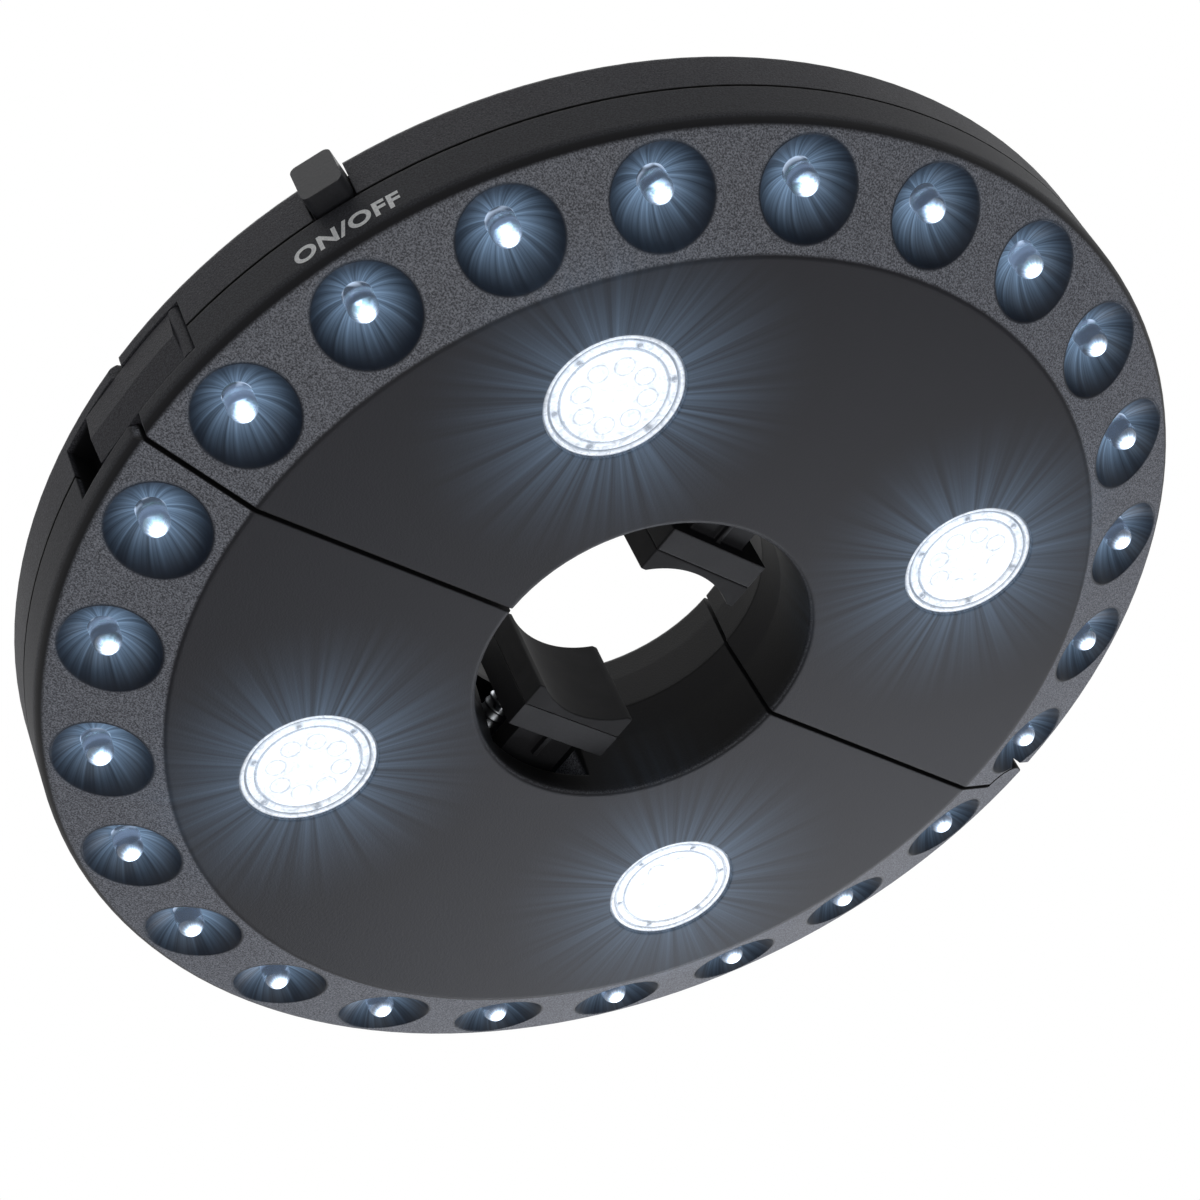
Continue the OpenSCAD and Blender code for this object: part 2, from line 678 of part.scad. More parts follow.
// Small lights
module ring_leds() {
  color("#f2f8ff") at_leds(led_ring_r, 0) {
    disc(led_r, -led_dome_z, -board_z - led_foot_t / 2);
    disc(led_foot_r, -board_z - led_foot_t, -board_z);
    translate([0, 0, -led_dome_z]) sphere(r = led_r, $fn = small_fn);
  }
}
module ring_board() {
  color("#1f6b3a") difference() {
    disc(ring_board_out, -board_z, board_t - board_z, round_fn);
    disc(ring_board_in, -board_z - over, board_t - board_z + over, round_fn);
    block(-body_r, body_r, -body_r, ring_board_from_y, -board_z - over, board_t);
  }
}

// Batteries
module at_cells() {
  for (i = [0, 1]) translate([0, cell_ys[i], cell_z]) mirror([i, 0, 0]) rotate([0, 90, 0]) children();
}
module cells() {
  color("#3a66a8") at_cells() {
    disc(cell_d / 2, cell_low, cell_low + cell_l - cell_tip_h);
    disc(cell_tip_r, cell_low + cell_l - cell_tip_h - over, cell_low + cell_l);
  }
}
module contact_plates() {
  color("#d5d7d8") at_cells() {
    block(-plate_h / 2, plate_h / 2, -plate_w / 2, plate_w / 2, bay_l / 2 - plate_t, bay_l / 2);
    disc(cell_tip_r, cell_low + cell_l, bay_l / 2 - plate_t / 2);
    block(-plate_h / 2, plate_h / 2, -plate_w / 2, plate_w / 2, -bay_l / 2, plate_t - bay_l / 2);
  }
}
module contact_springs() {
  color("#c9ccd0") at_cells() translate([0, 0, plate_t - bay_l / 2])
    coil(contact_big_r, contact_small_r, contact_len, contact_curls, contact_wire);
}
module battery_door() {
  color("#2a2b2f") difference() {
    union() {
      translate([0, 0, door_seat_z]) linear_extrude(door_t) door_plan(0);
      difference() {
        block(part_gap - bay_l / 2, bay_l / 2 - part_gap, bay_y + part_gap, bay_y + bay_w - part_gap,
          door_seat_z - door_lip_t, door_seat_z + door_t / 2);
        block(part_gap + door_lip_t - bay_l / 2, bay_l / 2 - part_gap - door_lip_t,
          bay_y + part_gap + door_lip_t, bay_y + bay_w - part_gap - door_lip_t, 0, door_seat_z);
      }
    }
    for (i = [0:door_grooves - 1])
      block(-door_groove_l / 2, door_groove_l / 2, bay_y + door_ledge + 2 * i * door_groove_w,
        bay_y + door_ledge + (2 * i + 1) * door_groove_w, back_h - door_t / 3, back_h + over);
    translate([0, door_ear_y, 0]) {
      disc(screw_r + fit, 0, back_h + over);
      disc(door_screw_r + fit, back_h - door_screw_t, back_h + over);
    }
  }
}

// Jaws
module jaw() {
  color("#34353a") {
    block(-jaw_w / 2, jaw_w / 2, pad_seat_y, jaw_back_y, jaw_z, jaw_z + jaw_h);
    block(-stem_w / 2, stem_w / 2, jaw_back_y - over, stem_stop_y + over, stem_z, stem_z + stem_t);
    block(-stem_stop_w / 2, stem_stop_w / 2, stem_stop_y, stem_stop_y + stem_stop_t,
      stem_z, stem_z + stem_t);
    block(-stem_rib_t / 2, stem_rib_t / 2, jaw_back_y - over, jaw_back_y + stem_rib_l, stem_z - stem_rib_t,
      stem_z + over);
  }
}
module jaw_pad() {
  color("#26272a") difference() {
    block(-jaw_w / 2, jaw_w / 2, pad_front_y, pad_seat_y, jaw_z, jaw_z + jaw_h);
    disc(grip_d / 2, jaw_z - over, jaw_z + jaw_h + over, round_fn);
  }
}
module jaw_springs() {
  color("#c9ccd0") for (x = [-jaw_spring_x, jaw_spring_x])
    translate([x, jaw_back_y, jaw_spring_z]) rotate([-90, 0, 0])
      coil(jaw_spring_r, jaw_spring_r, pocket_end_y - jaw_back_y, jaw_spring_curls, jaw_spring_wire);
}
echo(least_coil_gap = min(
  least_gap(
    coil_path(jaw_spring_r, jaw_spring_r, pocket_end_y - jaw_back_y, jaw_spring_curls, jaw_spring_wire),
    jaw_spring_wire, jaw_spring_curls),
  least_gap(coil_path(contact_big_r, contact_small_r, contact_len, contact_curls, contact_wire),
    contact_wire, contact_curls)));

// Hanging hooks
module hook(side) {
  ring_x = hook_pin_x + hook_l - hook_w / 2;
  color("#34353a") mirror([side == "b" ? 0 : 1, 0, 0]) difference() {
    union() {
      translate([hook_pin_x, hook_y, hook_z]) rotate([90, 0, 0])
        disc(hook_barrel_r, -hook_barrel_w / 2, hook_barrel_w / 2);
      block(hook_pin_x, ring_x - hook_w / 2 + hook_bar_w / 2,
        hook_y - hook_shank_w / 2, hook_y + hook_shank_w / 2,
        hook_z - hook_t / 2, hook_z + hook_t / 2);
      translate([ring_x, hook_y, 0]) difference() {
        disc(hook_w / 2, hook_z - hook_t / 2, hook_z + hook_t / 2, round_fn);
        disc(hook_w / 2 - hook_bar_w, hook_z - hook_t, hook_z + hook_t, round_fn);
        block(-hook_w, -hook_bar_w / 2, hook_shank_w / 2, hook_w, hook_z - hook_t, hook_z + hook_t);
      }
    }
    translate([hook_pin_x, hook_y, hook_z]) rotate([90, 0, 0]) disc(hook_pin_r + fit, -hook_w, hook_w);
  }
}
module hook_pin(side) {
  color("#c4c7ca") hook_axis(side) disc(hook_pin_r, -tray_w / 2 - pin_bite, tray_w / 2 + pin_bite);
}

// Clasp across the joint of the halves
function clasp_section() = let (r0 = body_r - clasp_t, r1 = body_r - clasp_ridge, h = clasp_h / 2)
  [[r0, clasp_z - h], [r1, clasp_z - h], [body_r + clasp_ridge, clasp_z],
   [r1, clasp_z + h], [r0, clasp_z + h]];
module clasp() {
  color("#313237") difference() {
    union() {
      intersection() {
        spun(clasp_section());
        block(-body_r - over, -body_r / 2, clasp_root - clasp_pivot_y, 0, -clasp_h, clasp_h);
      }
      rotate([90, 0, 180]) linear_extrude(clasp_b_l) polygon(clasp_section());
      translate([clasp_pivot_x, -clasp_pivot_y, 0])
        disc(clasp_knuckle_r, clasp_z - clasp_h / 2, clasp_z + clasp_h / 2);
      block(clasp_t / 2 - body_r, clasp_t + tooth_l - body_r, clasp_b_l - tooth_t, clasp_b_l,
        clasp_z - tooth_h / 2, clasp_z + tooth_h / 2);
    }
    translate([clasp_pivot_x, -clasp_pivot_y, 0]) disc(clasp_pin_r + fit, -clasp_h, clasp_h);
  }
}
module clasp_pin() {
  color("#c4c7ca") translate([clasp_pivot_x, -clasp_pivot_y, 0])
    disc(clasp_pin_r, pocket_low_z - clasp_wall + 2 * part_gap, pocket_high_z + clasp_wall - 2 * part_gap);
}
module hinge_pin() { color("#c4c7ca") at_hinge() disc(hinge_pin_r, hinge_pin_low_z, hinge_pin_high_z); }

// Button and switch on half A, built in the mirrored half
module button() {
  head_h = rim_h - button_z;
  color("#313237") on_a() at_button() {
    translate([button_head_r, 0, button_z + head_h / 2]) rotate([90, 0, 90])
      linear_extrude(body_r + button_out - button_head_r)
        polygon(rounded_box(button_w, head_h, button_round_r));
    block(button_back_r, button_back_r + button_flange_t, -button_flange_w / 2, button_flange_w / 2,
      button_z, button_z + button_flange_h);
    block(button_back_r - button_stem_l, button_back_r + button_flange_t / 2,
      -button_stem_w / 2, button_stem_w / 2,
      button_mid_z - button_stem_w / 2, button_mid_z + button_stem_w / 2);
  }
}
module switch_plunger() {
  color("#e8e2d0") on_a() at_button() translate([0, 0, button_mid_z]) rotate([0, 90, 0])
    disc(plunger_r, button_back_r - button_stem_l - plunger_l, button_back_r - button_stem_l);
}
module switch_body() {
  color("#1c1d20") on_a() at_button() difference() {
    block(switch_in_r, switch_out_r, -switch_w / 2, switch_w / 2,
      button_mid_z - switch_w / 2, button_mid_z + switch_w / 2);
    translate([0, 0, button_mid_z]) rotate([0, 90, 0])
      disc(plunger_r + fit, button_back_r - button_stem_l - plunger_l - button_travel - part_gap,
        switch_out_r + over);
  }
}
module switch_board() {
  color("#1f6b3a") on_a() at_button()
    block(switch_in_r - board_t, switch_in_r, -switch_board_w / 2, switch_board_w / 2, board_t - board_z,
      board_t - board_z + switch_board_h);
}

on_a() front_shell("a");  // front_shell_a
front_shell("b");  // front_shell_b
on_a() back_shell("a");  // back_shell_a
back_shell("b");  // back_shell_b
on_a() case_screws();  // case_screws_a
case_screws();  // case_screws_b
on_a() lenses();  // lenses_a
lenses();  // lenses_b
on_a() lens_holders();  // lens_holders_a
lens_holders();  // lens_holders_b
on_a() lamp_emitters();  // lamp_emitters_a
lamp_emitters();  // lamp_emitters_b
on_a() lamp_boards();  // lamp_boards_a
lamp_boards();  // lamp_boards_b
on_a() ring_board();  // ring_board_a
ring_board();  // ring_board_b
on_a() ring_leds();  // ring_leds_a
ring_leds();  // ring_leds_b
on_a() battery_door();  // battery_door_a
battery_door();  // battery_door_b
on_a() door_screw();  // door_screw_a
door_screw();  // door_screw_b
on_a() cells();  // cells_a
cells();  // cells_b
on_a() contact_plates();  // contact_plates_a
contact_plates();  // contact_plates_b
on_a() contact_springs();  // contact_springs_a
contact_springs();  // contact_springs_b
on_a() jaw();  // jaw_a
jaw();  // jaw_b
on_a() jaw_pad();  // jaw_pad_a
jaw_pad();  // jaw_pad_b
on_a() jaw_springs();  // jaw_springs_a
jaw_springs();  // jaw_springs_b
on_a() hook("a");  // hook_a
hook("b");  // hook_b
on_a() hook_pin("a");  // hook_pin_a
hook_pin("b");  // hook_pin_b
clasp();
clasp_pin();
hinge_pin();
button();
switch_plunger();
switch_body();
switch_board();
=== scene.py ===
import math
import bpy
from mathutils import Matrix, Vector


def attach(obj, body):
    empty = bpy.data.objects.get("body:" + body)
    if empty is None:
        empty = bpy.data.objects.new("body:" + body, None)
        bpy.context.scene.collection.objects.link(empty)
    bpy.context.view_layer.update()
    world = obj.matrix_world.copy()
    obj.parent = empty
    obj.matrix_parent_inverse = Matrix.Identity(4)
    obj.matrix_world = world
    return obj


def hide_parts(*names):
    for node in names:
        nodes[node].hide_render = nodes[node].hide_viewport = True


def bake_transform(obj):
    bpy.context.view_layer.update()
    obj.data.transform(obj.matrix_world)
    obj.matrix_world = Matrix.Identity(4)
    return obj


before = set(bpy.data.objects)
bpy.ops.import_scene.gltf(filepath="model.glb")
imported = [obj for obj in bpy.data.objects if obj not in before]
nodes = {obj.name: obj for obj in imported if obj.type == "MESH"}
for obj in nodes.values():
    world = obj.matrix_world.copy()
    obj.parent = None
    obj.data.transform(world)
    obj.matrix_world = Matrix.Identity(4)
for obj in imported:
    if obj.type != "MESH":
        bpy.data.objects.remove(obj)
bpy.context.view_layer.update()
mm = 0.001
lightRing = 95 * mm
lampRing = 61.3 * mm
print("frame loaded:", len(nodes), "nodes")


def linearColor(hexText):
    # sRGB hex to the linear colour that the shaders take
    parts = [int(hexText[i:i + 2], 16) / 255 for i in (1, 3, 5)]
    return [c / 12.92 if c <= 0.04045 else ((c + 0.055) / 1.055) ** 2.4 for c in parts] + [1.0]


def addNode(owner, kind, settings=None, links=None):
    # sockets are named with a capital or by number, the node's own options in small letters,
    # and a link that names a node takes its first output
    node = owner.node_tree.nodes.new(kind)
    for name, value in (settings or {}).items():
        if isinstance(name, int) or name[0].isupper():
            node.inputs[name].default_value = value
        else:
            setattr(node, name, value)
    for name, source in (links or {}).items():
        source = source.outputs[0] if isinstance(source, bpy.types.Node) else source
        owner.node_tree.links.new(source, node.inputs[name])
    return node


def startMaterial(name, sockets):
    material = bpy.data.materials.new(name)
    material.use_nodes = True
    shader = material.node_tree.nodes["Principled BSDF"]
    for socket, value in sockets.items():
        shader.inputs[socket].default_value = value
    return material, shader


def join(material, source, target):
    material.node_tree.links.new(source, target)


# solved from the 24 small lights on their 190 mm circle
cameraLook = {"lens": 88.89, "ringUnit": lightRing, "starLevel": -11.97 * mm,
              "shift": (0.0611, 0.0714, 5.494),
              "right": (0.72907606, -0.6020082, -0.32562896),
              "down": (0.29554984, 0.70603506, -0.64355636),
              "ahead": (0.61733167, 0.37296195, 0.69267669)}
right, down, ahead = (Vector(cameraLook[k]) for k in ("right", "down", "ahead"))
sideways, drop, reach = (s * cameraLook["ringUnit"] for s in cameraLook["shift"])
cameraPlace = -(right * sideways + down * drop + ahead * reach)
cameraPlace.z += cameraLook["starLevel"]
cameraData = bpy.data.cameras.new("photoCamera")
cameraData.lens = cameraLook["lens"]
cameraData.sensor_width = 36
cameraData.clip_start = 0.01
camera = bpy.data.objects.new("photoCamera", cameraData)
bpy.context.scene.collection.objects.link(camera)
turn = Matrix((right, -down, -ahead)).transposed().to_4x4()
camera.matrix_world = Matrix.Translation(cameraPlace) @ turn
bpy.context.scene.camera = camera
bpy.context.scene.view_settings.view_transform = "Standard"

worldLook = {"light": "#eef2f7", "lightLevel": 0.2}
world = bpy.data.worlds.new("paleRoom")
bpy.context.scene.world = world
world.use_nodes = True
world.node_tree.nodes.clear()
rays = addNode(world, "ShaderNodeLightPath")
seen = addNode(world, "ShaderNodeMath", {"operation": "MAXIMUM"},
               {0: rays.outputs["Is Camera Ray"], 1: rays.outputs["Is Glossy Ray"]})
seen = addNode(world, "ShaderNodeMath", {"operation": "MAXIMUM"},
               {0: seen, 1: rays.outputs["Is Transmission Ray"]})
plain = addNode(world, "ShaderNodeBackground", {"Color": linearColor(worldLook["light"]),
        "Strength": worldLook["lightLevel"]})
white = addNode(world, "ShaderNodeBackground", {"Color": (1, 1, 1, 1), "Strength": 1.0})
either = addNode(world, "ShaderNodeMixShader", {}, {0: seen, 1: plain, 2: white})
addNode(world, "ShaderNodeOutputWorld", {}, {"Surface": either})

# soft boxes: the lit face is seen from below, so most of the light comes from under it
lampLook = {"keyBelow": {"place": (-0.25, -0.15, -0.95), "size": 0.9, "power": 4.7, "color": "#fdfbf8"},
            "mirrorBelow": {"place": (0.98, 0.6, -0.54), "size": 0.7, "power": 9.6, "color": "#f2f6ff"},
            "leftSide": {"place": (-1.1, 0.5, -0.3), "size": 0.8, "power": 0.3, "color": "#f6f8ff"},
            "overhead": {"place": (-0.1, -0.05, 1.3), "size": 0.9, "power": 6.5, "color": "#ffffff"}}
for name, look in lampLook.items():
    lampData = bpy.data.lights.new(name, "AREA")
    lampData.size = look["size"]
    lampData.energy = look["power"]
    lampData.color = linearColor(look["color"])[:3]
    lamp = bpy.data.objects.new(name, lampData)
    bpy.context.scene.collection.objects.link(lamp)
    lamp.location = look["place"]
    lamp.rotation_euler = (-Vector(look["place"])).to_track_quat("-Z", "Y").to_euler()

# a pale floor well below, because the light hangs overhead and is seen from below
floorLook = {"level": -1.25, "radius": 3.6, "color": "#f4f4f2", "solidTo": 1.6, "seenLevel": 0.5}
bpy.ops.object.select_all(action="DESELECT")
bpy.ops.mesh.primitive_circle_add(vertices=96, radius=floorLook["radius"], fill_type="NGON",
                                  location=(0, 0, floorLook["level"]))
floor = bpy.context.active_object
floor.name = "paleFloor"
floorPaint, floorShader = startMaterial("paleFloorPaint",
    {"Base Color": linearColor(floorLook["color"]), "Roughness": 0.9})
place = addNode(floorPaint, "ShaderNodeTexCoord")
outward = addNode(floorPaint, "ShaderNodeVectorMath", {"operation": "LENGTH"}, {0: place.outputs["Object"]})
fading = addNode(floorPaint, "ShaderNodeMapRange", {"interpolation_type": "SMOOTHSTEP",
        "From Min": floorLook["solidTo"], "From Max": floorLook["radius"]},
    {"Value": outward.outputs["Value"]})
clear = addNode(floorPaint, "ShaderNodeBsdfTransparent")
# paler for the camera alone, so that it throws no more light on the object
floorRays = addNode(floorPaint, "ShaderNodeLightPath")
seenLevel = addNode(floorPaint, "ShaderNodeMath", {"operation": "MULTIPLY", 1: floorLook["seenLevel"]},
    {0: floorRays.outputs["Is Camera Ray"]})
paler = addNode(floorPaint, "ShaderNodeEmission", {"Color": linearColor(floorLook["color"])},
    {"Strength": seenLevel})
painted = addNode(floorPaint, "ShaderNodeAddShader", {}, {0: floorShader, 1: paler})
faded = addNode(floorPaint, "ShaderNodeMixShader", {}, {0: fading, 1: painted, 2: clear})
join(floorPaint, faded.outputs[0], floorPaint.node_tree.nodes["Material Output"].inputs["Surface"])
floor.data.materials.append(floorPaint)
print("camera, lamps and floor placed")


def ringFold(material, coordinates, ringRadius, step, level):
    # distance and way to the nearest of the points that repeat every step degrees on a ring;
    # without a level it is measured across only
    apart = addNode(material, "ShaderNodeSeparateXYZ", {}, {0: coordinates})
    across = addNode(material, "ShaderNodeCombineXYZ", {}, {0: apart, 1: apart.outputs[1]})
    radius = addNode(material, "ShaderNodeVectorMath", {"operation": "LENGTH"}, {0: across})
    angle = addNode(material, "ShaderNodeMath", {"operation": "ARCTAN2"}, {0: apart.outputs[1], 1: apart})
    folded = addNode(material, "ShaderNodeMath", {"operation": "FLOORED_MODULO", 1: math.radians(step)},
        {0: angle})
    centred = addNode(material, "ShaderNodeMath", {"operation": "SUBTRACT", 1: math.radians(step / 2)},
        {0: folded})
    cosine = addNode(material, "ShaderNodeMath", {"operation": "COSINE"}, {0: centred})
    sine = addNode(material, "ShaderNodeMath", {"operation": "SINE"}, {0: centred})
    outwardPart = addNode(material, "ShaderNodeMath", {"operation": "MULTIPLY"},
        {0: radius.outputs["Value"], 1: cosine})
    sidePart = addNode(material, "ShaderNodeMath", {"operation": "MULTIPLY"},
        {0: radius.outputs["Value"], 1: sine})
    local = addNode(material, "ShaderNodeCombineXYZ", {}, {0: outwardPart, 1: sidePart})
    if level is not None:
        join(material, apart.outputs[2], local.inputs[2])
    way = addNode(material, "ShaderNodeVectorMath", {"operation": "SUBTRACT",
            1: (ringRadius, 0, level or 0)}, {0: local})
    distance = addNode(material, "ShaderNodeVectorMath", {"operation": "LENGTH"}, {0: way})
    return distance.outputs["Value"], way.outputs[0]


def glowRound(material, coordinates, look):
    # a glow that fades outward from each light, in faint uneven rays: on the plastic round a lamp it is
    # painted light standing for the light the lamp throws, on a small light it is the light's own hot spot
    uneven = {"From Min": 0.35, "From Max": 0.7, "To Min": 0.45, "To Max": 1.5}
    distance, way = ringFold(material, coordinates, look["ring"], look["step"], look["level"])
    near = addNode(material, "ShaderNodeMapRange", {"From Min": look["to"], "From Max": look["from"]},
        {"Value": distance})
    fade = addNode(material, "ShaderNodeMath", {"operation": "POWER", 1: look["steep"]}, {0: near})
    fade = addNode(material, "ShaderNodeMath", {"operation": "MULTIPLY", 1: look["glow"]}, {0: fade})
    level = addNode(material, "ShaderNodeVectorMath", {"operation": "MULTIPLY", 1: (1, 1, 0)}, {0: way})
    straight = addNode(material, "ShaderNodeVectorMath", {"operation": "NORMALIZE"}, {0: level})
    rays = addNode(material, "ShaderNodeTexNoise", {"Scale": look["rays"], "Detail": 2.0, "Roughness": 0.7},
        {"Vector": straight})
    share = addNode(material, "ShaderNodeMapRange", uneven, {"Value": rays.outputs["Fac"]})
    return addNode(material, "ShaderNodeMath", {"operation": "MULTIPLY"}, {0: fade, 1: share})


def grainedPlastic(name, look):
    # injection moulded ABS from a spark-eroded mould: matt, with a fine pebbled grain and soft broad glints
    material, shader = startMaterial(name, {"Base Color": linearColor(look["color"]),
            "Roughness": look["roughness"], "IOR": 1.53, "Specular IOR Level": look["gloss"]})
    place = addNode(material, "ShaderNodeTexCoord")
    pebbles = addNode(material, "ShaderNodeTexVoronoi", {"feature": "SMOOTH_F1", "Scale": 1 / look["grain"],
            "Smoothness": 0.6}, {"Vector": place.outputs["Object"]})
    dust = addNode(material, "ShaderNodeTexNoise", {"Scale": 1.15 / look["grain"], "Detail": 1.0,
            "Roughness": 0.7}, {"Vector": place.outputs["Object"]})
    clouds = addNode(material, "ShaderNodeTexNoise", {"Scale": 1 / look["mottle"], "Detail": 3.0},
        {"Vector": place.outputs["Object"]})
    dark = addNode(material, "ShaderNodeMix", {"data_type": "RGBA", 6: linearColor(look["darker"]),
            7: linearColor(look["color"])}, {0: clouds.outputs["Fac"]})
    speck = addNode(material, "ShaderNodeMapRange", {"From Min": 0.35, "From Max": 0.68, "To Min": 0.0,
            "To Max": look["speckle"]}, {"Value": dust.outputs["Fac"]})
    tone = addNode(material, "ShaderNodeMix", {"data_type": "RGBA", 7: linearColor(look["lighter"])},
                   {0: speck, 6: dark.outputs[2]})
    rough = addNode(material, "ShaderNodeMapRange", {"To Min": look["roughness"] - 0.06,
            "To Max": look["roughness"] + 0.08}, {"Value": clouds.outputs["Fac"]})
    soften = addNode(material, "ShaderNodeBevel", {"samples": 4, "Radius": look.get("edge", 0.3) * mm})
    bump = addNode(material, "ShaderNodeBump", {"Strength": look["bump"], "Distance": 0.07 * mm},
                   {"Height": pebbles.outputs["Distance"], "Normal": soften})
    join(material, tone.outputs[2], shader.inputs["Base Color"])
    join(material, rough.outputs[0], shader.inputs["Roughness"])
    join(material, bump.outputs[0], shader.inputs["Normal"])
    return material, shader, {"place": place.outputs["Object"], "tone": tone, "rough": rough, "bump": bump}


# grain 0.34 mm: the real one is nearer 0.15 mm, drawn coarser so that it shows
backLook = {"color": "#2a2a2e", "darker": "#242428", "lighter": "#606066", "roughness": 0.55,
    "grain": 0.34 * mm, "mottle": 14 * mm, "speckle": 0.42, "bump": 0.7, "gloss": 0.12, "pocket": 8 * mm,
    "cornerAt": (104.6 * mm, 8.7 * mm, 0), "seamAt": -0.2 * mm, "hingeAt": (100.5 * mm, 0, 0),
    "seat": 5 * mm, "seatSide": 0.3 * mm}
# where each zone begins and where it is full
softEdge = {"interpolation_type": "SMOOTHSTEP"}
backLook["openingEdge"] = {"From Min": 32.5 * mm, "From Max": 31.3 * mm}
backLook["pocketEdge"] = {"From Min": 104.7 * mm, "From Max": 103.6 * mm}
backLook["cornerEdge"] = {"From Min": 0.6 * mm, "From Max": 0.2 * mm}
backLook["seamEdge"] = {"From Min": 0.45 * mm, "From Max": 0.25 * mm}
backLook["splitEdge"] = {"From Min": 0.62 * mm, "From Max": 0.42 * mm}
backLook["seatEdge"] = {"From Min": 0.5 * mm, "From Max": 0.3 * mm}
# each zone's colour, its roughness and how far it takes the grain away
# painted shade: the opening, the rim's pockets and the seam are drawn near black
backLook["zones"] = {"opening": ("#08080a", 0.5, 0.6), "pocket": ("#0c0c0e", 0.6, 0.5),
    "seam": ("#050506", 0.7, 0.5)}


def shellMasks(material, place, look):
    # 1 in the opening, in the pockets of the rim, on the outer corner, in the seam between front and back and
    # in the split between the halves: the places drawn darker as painted shade
    apart = addNode(material, "ShaderNodeSeparateXYZ", {}, {0: place})
    across = addNode(material, "ShaderNodeCombineXYZ", {}, {0: apart, 1: apart.outputs[1]})
    outward = addNode(material, "ShaderNodeVectorMath", {"operation": "LENGTH"}, {0: across})
    inOpening = addNode(material, "ShaderNodeMapRange", softEdge | look["openingEdge"],
        {"Value": outward.outputs["Value"]})
    behindWall = addNode(material, "ShaderNodeMapRange", softEdge | look["pocketEdge"],
        {"Value": outward.outputs["Value"]})
    midHeight = addNode(material, "ShaderNodeMath", {"operation": "ABSOLUTE"}, {0: apart.outputs[2]})
    midHeight = addNode(material, "ShaderNodeMath", {"operation": "LESS_THAN", 1: look["pocket"]},
        {0: midHeight})
    inPocket = addNode(material, "ShaderNodeMath", {"operation": "MULTIPLY"}, {0: behindWall, 1: midHeight})
    section = addNode(material, "ShaderNodeCombineXYZ", {},
        {0: outward.outputs["Value"], 1: apart.outputs[2]})
    fromCorner = addNode(material, "ShaderNodeVectorMath", {"operation": "DISTANCE", 1: look["cornerAt"]},
        {0: section})
    onCorner = addNode(material, "ShaderNodeMapRange", softEdge | look["cornerEdge"],
        {"Value": fromCorner.outputs["Value"]})
    seam = addNode(material, "ShaderNodeMath", {"operation": "SUBTRACT", 1: look["seamAt"]},
        {0: apart.outputs[2]})
    seam = addNode(material, "ShaderNodeMath", {"operation": "ABSOLUTE"}, {0: seam})
    inSeam = addNode(material, "ShaderNodeMapRange", softEdge | look["seamEdge"], {"Value": seam})
    aside = addNode(material, "ShaderNodeMath", {"operation": "ABSOLUTE"}, {0: apart.outputs[1]})
    inSplit = addNode(material, "ShaderNodeMapRange", softEdge | look["splitEdge"], {"Value": aside})
    # at the hinge the split turns round the knuckle, on half A's side
    beforeHinge = addNode(material, "ShaderNodeMath", {"operation": "LESS_THAN",
            1: look["hingeAt"][0] - look["seat"]}, {0: apart})
    inSplit = addNode(material, "ShaderNodeMath", {"operation": "MULTIPLY"}, {0: inSplit, 1: beforeHinge})
    fromHinge = addNode(material, "ShaderNodeVectorMath", {"operation": "DISTANCE", 1: look["hingeAt"]},
        {0: across})
    offSeat = addNode(material, "ShaderNodeMath", {"operation": "SUBTRACT", 1: look["seat"]},
        {0: fromHinge.outputs["Value"]})
    offSeat = addNode(material, "ShaderNodeMath", {"operation": "ABSOLUTE"}, {0: offSeat})
    inSeat = addNode(material, "ShaderNodeMapRange", softEdge | look["seatEdge"], {"Value": offSeat})
    sideA = addNode(material, "ShaderNodeMath", {"operation": "LESS_THAN", 1: look["seatSide"]},
        {0: apart.outputs[1]})
    inSeat = addNode(material, "ShaderNodeMath", {"operation": "MULTIPLY"}, {0: inSeat, 1: sideA})
    inSplit = addNode(material, "ShaderNodeMath", {"operation": "MAXIMUM"}, {0: inSplit, 1: inSeat})
    masks = {"opening": inOpening, "pocket": inPocket, "corner": onCorner, "seam": inSeam, "split": inSplit}
    return apart.outputs[2], outward.outputs["Value"], masks


def layered(material, shader, parts, look, masks):
    # smoother, darker zones laid over the grained plastic, one after the other; the darkness in the opening,
    # the pockets, the seam, the split, the outer corner and the side wall is painted shade
    tone, rough, smooth = parts["tone"].outputs[2], parts["rough"].outputs[0], None
    for zone, (color, roughness, grainGone) in look["zones"].items():
        mask = masks[zone]
        tone = addNode(material, "ShaderNodeMix", {"data_type": "RGBA", 7: linearColor(color)},
            {0: mask, 6: tone}).outputs[2]
        rough = addNode(material, "ShaderNodeMix", {3: roughness}, {0: mask, 2: rough}).outputs[0]
        gone = addNode(material, "ShaderNodeMath", {"operation": "MULTIPLY", 1: grainGone}, {0: mask})
        if smooth:
            gone = addNode(material, "ShaderNodeMath", {"operation": "MAXIMUM"}, {0: gone, 1: smooth})
        smooth = gone
    left = addNode(material, "ShaderNodeMapRange", {"To Min": look["bump"], "To Max": 0.02},
        {"Value": smooth})
    join(material, tone, shader.inputs["Base Color"])
    join(material, rough, shader.inputs["Roughness"])
    join(material, left.outputs[0], parts["bump"].inputs["Strength"])


backPlastic, backShader, parts = grainedPlastic("absGrainedBack", backLook)
_, _, masks = shellMasks(backPlastic, parts["place"], backLook)
layered(backPlastic, backShader, parts, backLook, masks)
doorPlastic, _, _ = grainedPlastic("absGrainedDoor", backLook)
